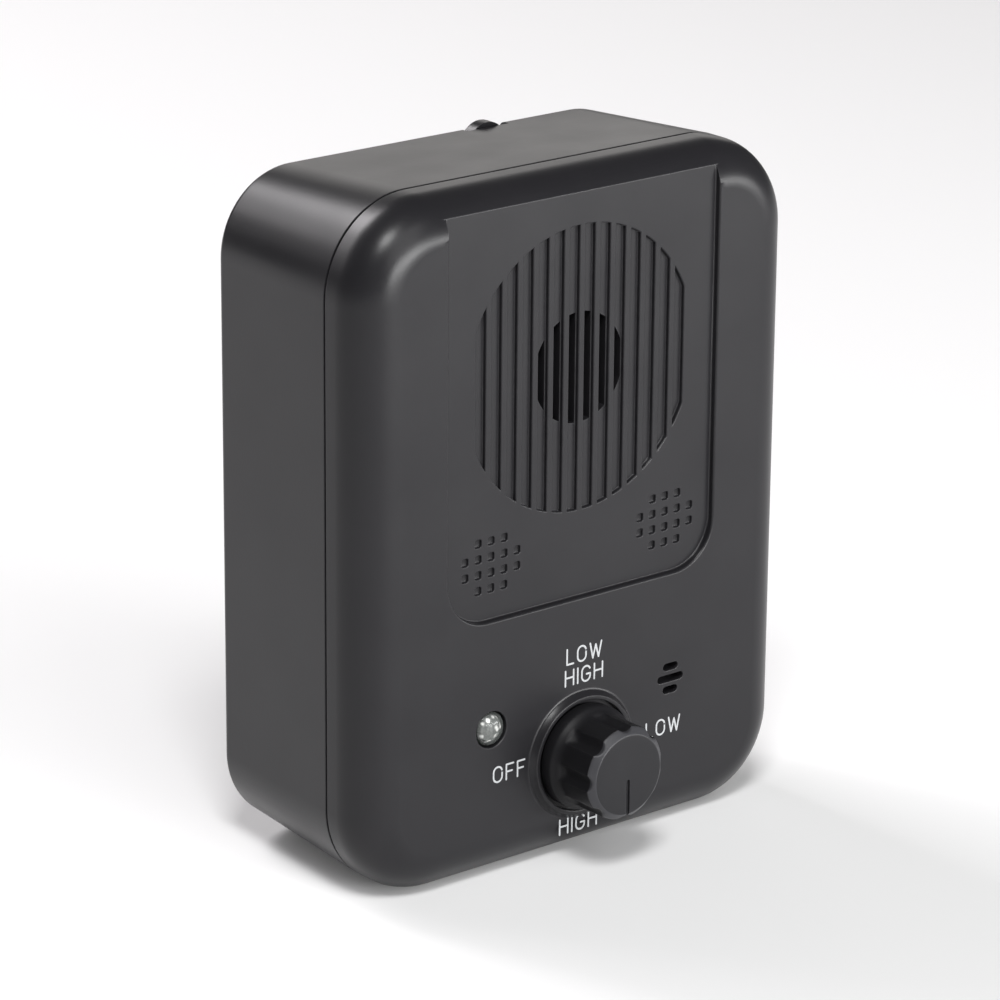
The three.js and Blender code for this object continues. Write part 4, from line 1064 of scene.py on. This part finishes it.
def flute_tree():
    tree = Tree("fluted_grip")
    count, arc, depth = tree.size("Flutes"), tree.size("Arc"), tree.size("Depth")
    grip, middle_z = tree.size("Grip"), tree.size("Middle")
    pitch = tree.math("DIVIDE", 2 * math.pi, count)
    turn, reach = tree.attribute("turn"), tree.attribute("reach")
    away = tree.math("WRAP", turn, tree.math("MULTIPLY", pitch, 0.5), tree.math("MULTIPLY", pitch, -0.5))
    centre = tree.math("SUBTRACT", tree.math("ADD", grip, arc), depth)
    sine = tree.math("MULTIPLY", centre, tree.math("SINE", away))
    under = tree.math("SUBTRACT", tree.math("MULTIPLY", arc, arc), tree.math("MULTIPLY", sine, sine))
    inside = tree.math("GREATER_THAN", under, 0)
    wall = tree.math(
        "SUBTRACT",
        tree.math("MULTIPLY", centre, tree.math("COSINE", away)),
        tree.math("SQRT", tree.math("MAXIMUM", under, 0)),
    )
    far = tree.math("ADD", tree.math("MULTIPLY", wall, inside), tree.math("SUBTRACT", 1, inside))
    dip = tree.math("SUBTRACT", reach, tree.math("SMOOTH_MIN", reach, far, 0.0003))
    radius = tree.math("SUBTRACT", reach, tree.math("MULTIPLY", dip, tree.attribute("flute")))
    x = tree.math("MULTIPLY", radius, tree.math("SINE", turn))
    z = tree.math("ADD", middle_z, tree.math("MULTIPLY", radius, tree.math("COSINE", turn)))
    moved = tree.node(
        "GeometryNodeSetPosition", {"Geometry": tree.start(), "Position": tree.vector(x, tree.place()[1], z)}
    )
    tree.finish(moved.outputs[0])
    return tree


def pointer_cutter():
    low, high = KNOB_HEIGHT - GRIP - 1 * MM, KNOB_HEIGHT - 0.8 * MM
    half = 0.3 * MM
    levels = [(grow, KNOB_TOP + y) for grow, y in lip_levels(0.1 * MM, 0.4 * MM, 0.1 * MM, 3)]
    return stacked(
        "pointer", levels,
        lambda grow: rounded_outline(-half - grow, half + grow, low, high + grow, 0.28 * MM + grow, 5),
    )


knob = grown(
    "knob_turning", flute_tree(), knob_blank(), knob_plastic,
    Flutes=8.0, Arc=1.6 * MM, Depth=0.65 * MM, Grip=GRIP, Middle=KNOB_HEIGHT,
)
face_outward(knob.data)
combine(knob, "DIFFERENCE", pointer_cutter())
dressed(knob, knob_plastic, knob_top_painted_light, knob_rim_painted_highlight, body="knob", slot="knob_plastic", stands_for=["knob"])
# The flat top takes the paler copy as painted light and the bevel's rim the palest as a painted highlight; the rest
# keeps the knob's own black.
for face in knob.data.polygons:
    reach = math.hypot(face.center.x, face.center.z - KNOB_HEIGHT)
    on_top = face.center.y < KNOB_TOP + BEVEL - 0.02 * MM and (reach > 4 * MM or face.normal.y < -0.9)
    face.material_index = (2 if reach > CAP - 0.1 * MM and face.normal.y > -0.97 else 1) if on_top else 0

# %% [markdown]
# ## Screws
#
# Eleven pan-head screws of three sizes hold the covers, the board and the speaker. One screw of each size is
# turned and gets its cross recess, and a tree stands it at every place where the frame has one, each turned
# to its own angle as a driver leaves it. The seed is fixed, so the angles stay the same in every run.

# %% Screws
def screw_blank(name, head, height, shank, length):
    """A screw along Y with the underside of its head at the origin and its tip towards the front."""
    profile = [(0, -length), (shank * 0.3, -length), (shank, -length + shank)]
    profile += [(shank, -0.05 * MM), (shank, 0), (head * 0.97, 0), (head, 0.06 * MM)]
    profile += [(head, height * 0.45)]
    profile += [(head * (0.72 + 0.28 * math.cos(a)), height * (0.45 + 0.55 * math.sin(a))) for a in quarter(6)[1:]]
    blank = turned(name, profile + [(0, height)], steps=32)
    reach, half, depth = head * 0.58, head * 0.1, height * 0.45
    arms = []
    for x, z in ((reach, half), (half, reach)):
        rings = [[(a, y, b) for a, b in rounded_outline(-x * s, x * s, -z * s, z * s, half * 0.3, 2)]
                 for s, y in ((1.05, height * 1.1), (0.8, depth))]
        arms.append(from_rings("arm", rings))
    return combine(blank, "DIFFERENCE", *arms)


def screw_tree():
    tree = Tree("screws_at_places")
    source = tree.node("GeometryNodeObjectInfo", {"Object": tree.size("Screw", "NodeSocketObject")})
    turn = tree.node(
        "FunctionNodeRandomValue", {"Max": 2 * math.pi, "Seed": tree.size("Seed", "NodeSocketInt")}, data_type="FLOAT"
    )
    angle = next(o for o in turn.outputs if o.type == "VALUE" and o.enabled)
    copies = tree.node(
        "GeometryNodeInstanceOnPoints",
        {"Points": tree.start(), "Instance": source.outputs["Geometry"], "Rotation": tree.vector(0, angle, 0)},
    )
    tree.finish(copies.outputs[0])
    return tree


def place_screws(name, tree, group, count, head, height, shank, seed):
    labels = [f"{group}_{i + 1}" for i in range(count)]
    low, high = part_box(labels[0])
    length = high.y - low.y - height
    blank = screw_blank("blank", head, height, shank, length)
    places = new_object("places", [(middle(n).x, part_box(n)[1].y - height, middle(n).z) for n in labels], [], False)
    made = grown(name, tree, places, screw_steel, Screw=blank, Seed=seed)
    bpy.data.objects.remove(blank)
    dressed(made, screw_steel, slot="screw_steel", stands_for=labels)


screws = screw_tree()
place_screws("case_screws", screws, "case_screw", 4, 2.6 * MM, 1.8 * MM, 1.25 * MM, 3)
place_screws("board_screws", screws, "board_screw", 4, 2 * MM, 1.2 * MM, 0.9 * MM, 5)
place_screws("speaker_screws", screws, "speaker_screw", 3, 2.7 * MM, 1.4 * MM, 1.1 * MM, 8)

# %% [markdown]
# ## Indicator lamp
#
# A clear 5 mm lamp is a dome of resin round a small bright cup. Real refraction in so small a body is slow
# to render and gives grain, so the clear skin is a thin glossy shell that lets light by, and the sparkle
# is painted: the faceted core inside it carries bright and dark cells in its colour as painted glints.

# %% Indicator lamp
def clear_resin():
    paint = Paint("clear_resin")
    paint.set(Base_Color=(0.3, 0.32, 0.31, 1), Alpha=0.16, Specular_IOR_Level=0.6)
    paint.roughness(paint.remap(paint.noise(0.8 * MM), 0.3, 0.7, 0.03, 0.09))
    paint.bump(paint.noise(1.2 * MM), 0.01 * MM)
    return paint


def lamp_core_painted_glints():
    paint = Paint("lamp_core")
    cells = paint.node("ShaderNodeTexVoronoi", feature="F1")
    cells.inputs["Scale"].default_value = 1 / (0.85 * MM)
    paint.join(paint.place, cells.inputs["Vector"])
    # Bright and dark cells in the core's colour are painted glints, in place of the lamp's sparkle.
    bright = paint.remap(cells.outputs["Distance"], 0.2, 0.5, 0, 1)
    paint.colour(paint.mix(bright, (0.95, 0.95, 0.92), (0.12, 0.125, 0.12)))
    paint.roughness(paint.remap(paint.noise(0.6 * MM), 0.3, 0.7, 0.15, 0.35))
    paint.bump(cells.outputs["Distance"], 0.15 * MM)
    paint.set(Metallic=0.3)
    return paint


def lamp_body(name, levels, steps):
    """A turned body on the lamp's axis. levels are (radius, depth behind the tip)."""
    return turned(name, [(r, lamp_low.y + depth) for r, depth in levels], LAMP_X, LAMP_Z, steps)


lamp_low, lamp_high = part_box("lamp_lens")
LENS, DOME, LENGTH = 2.5 * MM, 1.4 * MM, lamp_high.y - lamp_low.y
dome = [(LENS * math.sin(a), DOME * (1 - math.cos(a))) for a in quarter(12)]
flange = [(LENS, LENGTH - 1 * MM), (2.85 * MM, LENGTH - 1 * MM), (2.9 * MM, LENGTH - 0.95 * MM)]
flange += [(2.9 * MM, LENGTH - 0.05 * MM), (2.85 * MM, LENGTH), (LENS * 0.9, LENGTH), (0, LENGTH)]
cup = [(LENS * 0.84 * math.sin(a), 0.25 * MM + DOME * 0.8 * (1 - math.cos(a))) for a in quarter(3)]
cup += [(LENS * 0.8, 3 * MM), (LENS * 0.6, LENGTH - 0.4 * MM), (0, LENGTH - 0.4 * MM)]
core = lamp_body("lamp_core", cup, 10)
dressed(core, lamp_core_painted_glints(), sharp=10, slot="lamp_clear")
lens = lamp_body("lamp_lens_clear", dome + flange, 48)
dressed(lens, clear_resin(), slot="lamp_clear", stands_for=["lamp_lens"])

# %% [markdown]
# ## Printing
#
# The four positions of the knob are named in pale ink. The words are plain ones: off, low, high, and both
# together at the top. Each letter is drawn as pen strokes of one width, as an engraved or screen-printed
# legend is, because a ready typeface looks heavier. The strokes become flat ribbons that stand a hair
# above the face.

# %% Printing
def arc_points(cx, cz, rx, rz, start, end, steps=12):
    angles = [math.radians(start + (end - start) * i / steps) for i in range(steps + 1)]
    return [(cx + rx * math.cos(a), cz + rz * math.sin(a)) for a in angles]


BOWL = 0.34
LETTERS = {
    "O": (0.68, [arc_points(BOWL, 0.66, BOWL, BOWL, 0, 180) + arc_points(BOWL, BOWL, BOWL, BOWL, 180, 360)
                 + [(0.68, 0.66)]]),
    "F": (0.56, [[(0.56, 1), (0, 1), (0, 0)], [(0, 0.52), (0.46, 0.52)]]),
    "L": (0.52, [[(0, 1), (0, 0), (0.52, 0)]]),
    "W": (0.92, [[(0, 1), (0.23, 0), (0.46, 0.86), (0.69, 0), (0.92, 1)]]),
    "H": (0.66, [[(0, 1), (0, 0)], [(0.66, 1), (0.66, 0)], [(0, 0.52), (0.66, 0.52)]]),
    "I": (0.0, [[(0, 1), (0, 0)]]),
    "G": (0.68, [arc_points(BOWL, 0.66, BOWL, BOWL, 25, 180) + arc_points(BOWL, BOWL, BOWL, BOWL, 180, 360)
                 + [(0.68, 0.46), (0.38, 0.46)]]),
}
CAP_HEIGHT, PEN, LETTER_GAP = 2.25 * MM, 0.27 * MM, 0.34


def write_word(word, x, z):
    """The strokes of one word centred at x, z."""
    length = sum(LETTERS[c][0] for c in word) + LETTER_GAP * (len(word) - 1)
    at, strokes = -length / 2, []
    for letter in word:
        width, lines = LETTERS[letter]
        strokes += [[(x + (at + a) * CAP_HEIGHT, z + (b - 0.5) * CAP_HEIGHT) for a, b in line] for line in lines]
        at += width + LETTER_GAP
    return strokes


def straight_runs(stroke, turn=0.7):
    """A stroke split where it turns sharply, so that each run bends gently."""
    runs, run = [], [stroke[0]]
    for before, here, after in zip(stroke, stroke[1:], stroke[2:] + [None]):
        run.append(here)
        if after is None:
            break
        first = math.atan2(here[1] - before[1], here[0] - before[0])
        second = math.atan2(after[1] - here[1], after[0] - here[0])
        if abs((second - first + math.pi) % (2 * math.pi) - math.pi) > turn:
            runs.append(run)
            run = [here]
    return runs + [run]


def ribbon(run, half, low, high, steps=6):
    """A flat band round a run of points, with round ends, between two depths."""
    headings = [math.atan2(b[1] - a[1], b[0] - a[0]) for a, b in zip(run, run[1:])]
    turns = [headings[0]]
    for a, b in zip(headings, headings[1:]):
        turns.append(a + ((b - a + math.pi) % (2 * math.pi) - math.pi) / 2)
    turns.append(headings[-1])
    left = [(x - half * math.sin(t), z + half * math.cos(t)) for (x, z), t in zip(run, turns)]
    right = [(x + half * math.sin(t), z - half * math.cos(t)) for (x, z), t in zip(run, turns)]

    def round_end(point, heading):
        angles = [heading + math.pi / 2 - math.pi * i / steps for i in range(1, steps)]
        return [(point[0] + half * math.cos(a), point[1] + half * math.sin(a)) for a in angles]

    outline = left + round_end(run[-1], turns[-1]) + right[::-1] + round_end(run[0], turns[0] + math.pi)
    return from_rings("ribbon", [[(x, y, z) for x, z in outline] for y in (low, high)])


def ink_ribbons(name, strokes):
    """One ribbon for each run. Their tops take five heights in turn, so that two that meet aren't in one plane."""
    made = []
    for i, run in enumerate([run for stroke in strokes for run in straight_runs(stroke)]):
        made.append(ribbon(run, PEN / 2, FACE - (0.02 + i % 5 * 0.001) * MM, FACE + 0.05 * MM))
    return joined(name, made)


def ink_finish():
    paint = Paint("pale_ink")
    paint.colour(paint.mix(paint.noise(0.35 * MM, 4), (0.3, 0.31, 0.32), (0.5, 0.51, 0.52)))
    paint.roughness(paint.remap(paint.noise(0.5 * MM), 0.3, 0.7, 0.5, 0.7))
    paint.bump(paint.noise(0.2 * MM), 0.004 * MM)
    return paint


words = [("OFF", -13.1, 15.7), ("LOW", 0.4, 30.3), ("HIGH", 0.4, 27.1), ("LOW", 15.4, 15.5), ("HIGH", -0.3, 4.7)]
strokes = [stroke for word, x, z in words for stroke in write_word(word, x * MM, z * MM)]
printing = ink_ribbons("printing", strokes)
dressed(printing, ink_finish())

# %% [markdown]
# ## Foam
#
# Two pieces of foam are in the unit: a strip on the door that steadies the battery, and a ring under the
# speaker's flange. Foam is cut from a sheet, so its faces are flat, its cut edges soft, and its skin is full
# of small open cells of many sizes.

# %% Foam
def foam_finish():
    paint = Paint("open_foam")
    cells = paint.node("ShaderNodeTexVoronoi", feature="SMOOTH_F1")
    cells.inputs["Scale"].default_value = 1 / (0.55 * MM)
    paint.join(paint.place, cells.inputs["Vector"])
    depth = paint.math("MULTIPLY", cells.outputs["Distance"], paint.remap(paint.noise(1.4 * MM), 0.3, 0.7, 0.6, 1.4))
    # The colour darkens towards each cell's middle, where the bump sinks: painted shade in the open pores.
    paint.colour(paint.mix(depth, (0.012, 0.012, 0.013), (0.05, 0.05, 0.054)))
    paint.roughness(paint.remap(paint.noise(2 * MM), 0.3, 0.7, 0.82, 1))
    paint.bump(depth, 0.12 * MM)
    paint.set(Specular_IOR_Level=0.15)
    return paint


def radii(node):
    """The smallest and largest distance of a CAD node's points from its own axis along Y."""
    centre = middle(node)
    place = nodes[node].matrix_world
    reach = [math.hypot(p.x - centre.x, p.z - centre.z) for p in (place @ v.co for v in nodes[node].data.vertices)]
    return min(reach), max(reach)


foam = foam_finish()
low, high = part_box("door_foam")
edge = min(0.5 * MM, (high.y - low.y) * 0.3)
rings = []
for inset, y in flared(edge, 4, low.y) + [(0, high.y)]:
    outline = rounded_outline(low.x + inset, high.x - inset, low.z + inset, high.z - inset, 0.8 * MM, 5)
    rings.append(flat_ring(outline, y))
strip = from_rings("foam_strip", rings)
dressed(strip, foam, body="door", slot="foam", stands_for=["door_foam"])

low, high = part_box("speaker_gasket")
inner, outer = radii("speaker_gasket")
edge = (high.y - low.y) * 0.3
profile = [(inner + edge, low.y), (inner, low.y + edge), (inner, high.y - edge), (inner + edge, high.y)]
profile += [(outer - edge, high.y), (outer, high.y - edge), (outer, low.y + edge), (outer - edge, low.y)]
steps, centre = 96, middle("speaker_gasket")
angles = [2 * math.pi * i / steps for i in range(steps)]
points = [(centre.x + r * math.cos(a), y, centre.z + r * math.sin(a)) for r, y in profile for a in angles]
gasket = new_object("foam_gasket", points, ring_faces(steps, len(profile), closed=True))
dressed(gasket, foam, sharp=80, slot="foam", stands_for=["speaker_gasket"])

# %% [markdown]
# ## Finishes for the inside
#
# The parts inside are bought parts with finishes of their own: tinned and zinc-plated metal, the green
# lacquer of the board over its glass weave, sleeved capacitors, baked resistors, enamelled wire and
# sheathed leads. They are seen when the door is open or through the slots, so each gets its own nodes.

# %% Finishes for the inside
def board_finish():
    paint = Paint("board_lacquer")
    weave = paint.node("ShaderNodeTexWave", wave_type="BANDS", bands_direction="X")
    cross = paint.node("ShaderNodeTexWave", wave_type="BANDS", bands_direction="Z")
    for wave in (weave, cross):
        wave.inputs["Scale"].default_value = 900
        paint.join(paint.place, wave.inputs["Vector"])
    threads = paint.math("MULTIPLY", weave.outputs["Fac"], cross.outputs["Fac"])
    tracks = paint.node("ShaderNodeTexVoronoi", distance="MANHATTAN", feature="F1")
    tracks.inputs["Scale"].default_value = 1 / (4 * MM)
    paint.join(paint.place, tracks.inputs["Vector"])
    copper = paint.remap(tracks.outputs["Distance"], 0.55, 0.6, 0, 1)
    lacquer = paint.mix(threads, (0.012, 0.07, 0.025), (0.016, 0.085, 0.03))
    paint.colour(paint.mix(copper, lacquer, (0.03, 0.15, 0.055)))
    paint.roughness(paint.remap(paint.noise(3 * MM), 0.3, 0.7, 0.22, 0.36))
    paint.bump(copper, 0.02 * MM)
    return paint


def banded(name, colour, line, pitch, gloss):
    """Fine turns side by side, as wire on a coil has."""
    paint = metal(name, colour, gloss)
    wave = paint.node("ShaderNodeTexWave", wave_type="BANDS", bands_direction="Y")
    wave.inputs["Scale"].default_value = 1 / pitch
    paint.join(paint.place, wave.inputs["Vector"])
    # The colour darkens with the bump between neighbouring turns: painted shade in the creases between the wires.
    paint.colour(paint.mix(wave.outputs["Fac"], line, colour))
    paint.bump(wave.outputs["Fac"], 0.05 * MM)
    return paint


tinned = metal("bright_tin", (0.62, 0.63, 0.66), 0.25)
sleeve = moulded("blue_sleeve", (0.012, 0.025, 0.12), 0.22, grain=1.2 * MM)
finishes = {
    "inner_plastic": inner_plastic, "foam": foam, "screw_steel": screw_steel, "tinned_metal": tinned,
    "cone_foil": moulded("dark_foil", (0.014, 0.014, 0.015), 0.5, grain=1 * MM, depth=0.02 * MM),
    "brass": metal("brass_disc", (0.72, 0.5, 0.18), 0.3),
    "circuit_board": board_finish(),
    "boot_rubber": moulded("boot_rubber_skin", (0.009, 0.009, 0.01), 0.6, wear_and_highlight=1.2),
    "ferrite": moulded("pressed_ferrite", (0.02, 0.02, 0.022), 0.6, grain=0.15 * MM, depth=0.02 * MM),
    "copper": banded("enamelled_wire", (0.6, 0.22, 0.09), (0.2, 0.06, 0.03), 0.16 * MM, 0.3),
    "capacitor_sleeve": sleeve,
    "resistor_body": moulded("baked_lacquer", (0.42, 0.27, 0.12), 0.4, grain=0.6 * MM, wear_and_highlight=1.1),
    "battery_jacket": moulded("battery_print", (0.014, 0.015, 0.019), 0.25, grain=2 * MM, wear_and_highlight=1.5),
    "lead_red": moulded("red_sheath", (0.35, 0.012, 0.012), 0.35, wear_and_highlight=1.2),
    "lead_black": moulded("black_sheath", (0.011, 0.011, 0.012), 0.35, wear_and_highlight=1.5),
}
print("inside finishes:", len(finishes))

# %% [markdown]
# ## Parts inside
#
# The shapes of the inner parts come straight from the frame. Its meshes are loose triangles, so a copy is
# merged into one skin, flat triangles are joined into whole faces, and the true edges of the parts listed in
# rolls get a small rolled edge, because nothing moulded or pressed has a perfectly sharp one. The copy then
# stands for its node.

# %% Parts inside
def smooth_copy(node, roll=0.0):
    """One CAD node as a merged, smooth piece. roll is the radius of its edges."""
    work = bmesh.new()
    work.from_mesh(nodes[node].data)
    work.transform(nodes[node].matrix_world)
    bmesh.ops.remove_doubles(work, verts=work.verts, dist=2e-6)
    bmesh.ops.dissolve_limit(work, angle_limit=math.radians(1), verts=work.verts, edges=work.edges)
    bmesh.ops.recalc_face_normals(work, faces=work.faces)
    mesh = bpy.data.meshes.new(node + "_skin")
    work.to_mesh(mesh)
    work.free()
    made = linked(node + "_skin", mesh)
    if roll:
        bevel = made.modifiers.new("rolled_edges", "BEVEL")
        bevel.width, bevel.segments, bevel.angle_limit = roll, 2, math.radians(50)
        bevel.limit_method = "ANGLE"
        applied(made)
    return made


def slot_of(node):
    return next(part["material_slot"] for part in frame["record"]["subparts"] if part["node"] == node)


shown_by_pieces = {
    "front_cover", "rear_cover", "battery_door", "knob", "lamp_lens", "door_foam", "speaker_gasket",
    "battery_case", "microphone_capsule",
}
rolls = {"control_chip": 0.12, "driver_transistor": 0.12, "coil_core": 0.15, "snap_cap": 0.35, "switch_base": 0.2,
         "capacitor_1": 0.2, "capacitor_2": 0.2, "capacitor_3": 0.2, "speaker_piezo_disc": 0.05}
for node in nodes:
    if node in shown_by_pieces or "_screw_" in node:
        continue
    slot = slot_of(node)
    piece = smooth_copy(node, rolls.get(node, 0) * MM)
    body = "knob" if node == "switch_shaft" else "root"
    dressed(piece, finishes[slot], sharp=35, body=body, slot=slot, stands_for=[node])

# %% [markdown]
# ## Battery and microphone
#
# The battery is a folded steel jacket with plain dark print, closed at both ends by a crimped bright rim.
# The microphone is a bright can whose front is a disc of black felt, so nothing shines behind its slots.

# %% Battery and microphone
def battery_body():
    """The battery, and the heights between which its jacket is printed."""
    low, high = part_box("battery_case")
    rim = [(0.9, 0), (0.35, 0.05), (0.1, 0.35), (0, 0.7), (0, 1.2), (0.18, 1.35), (0.2, 1.6)]
    levels = [(inset * MM, low.z + z * MM) for inset, z in rim]
    levels += [(inset * MM, high.z - z * MM) for inset, z in reversed(rim)]
    rings = []
    for inset, z in levels:
        outline = rounded_outline(low.x + inset, high.x - inset, low.y + inset, high.y - inset, 2.2 * MM, 8)
        rings.append([(x, y, z) for x, y in outline])
    return from_rings("battery_body", rings), low.z + 1.3 * MM, high.z - 1.3 * MM


battery, jacket_low, jacket_high = battery_body()
dressed(battery, finishes["battery_jacket"], tinned, slot="battery_jacket", stands_for=["battery_case"])
for face in battery.data.polygons:
    face.material_index = int(not jacket_low < face.center.z < jacket_high)

capsule = smooth_copy("microphone_capsule", 0.1 * MM)
dressed(capsule, tinned, foam, slot="tinned_metal", stands_for=["microphone_capsule"])
capsule_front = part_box("microphone_capsule")[0].y
for face in capsule.data.polygons:
    face.material_index = int(face.normal.y < -0.5 and face.center.y < capsule_front + 0.2 * MM)
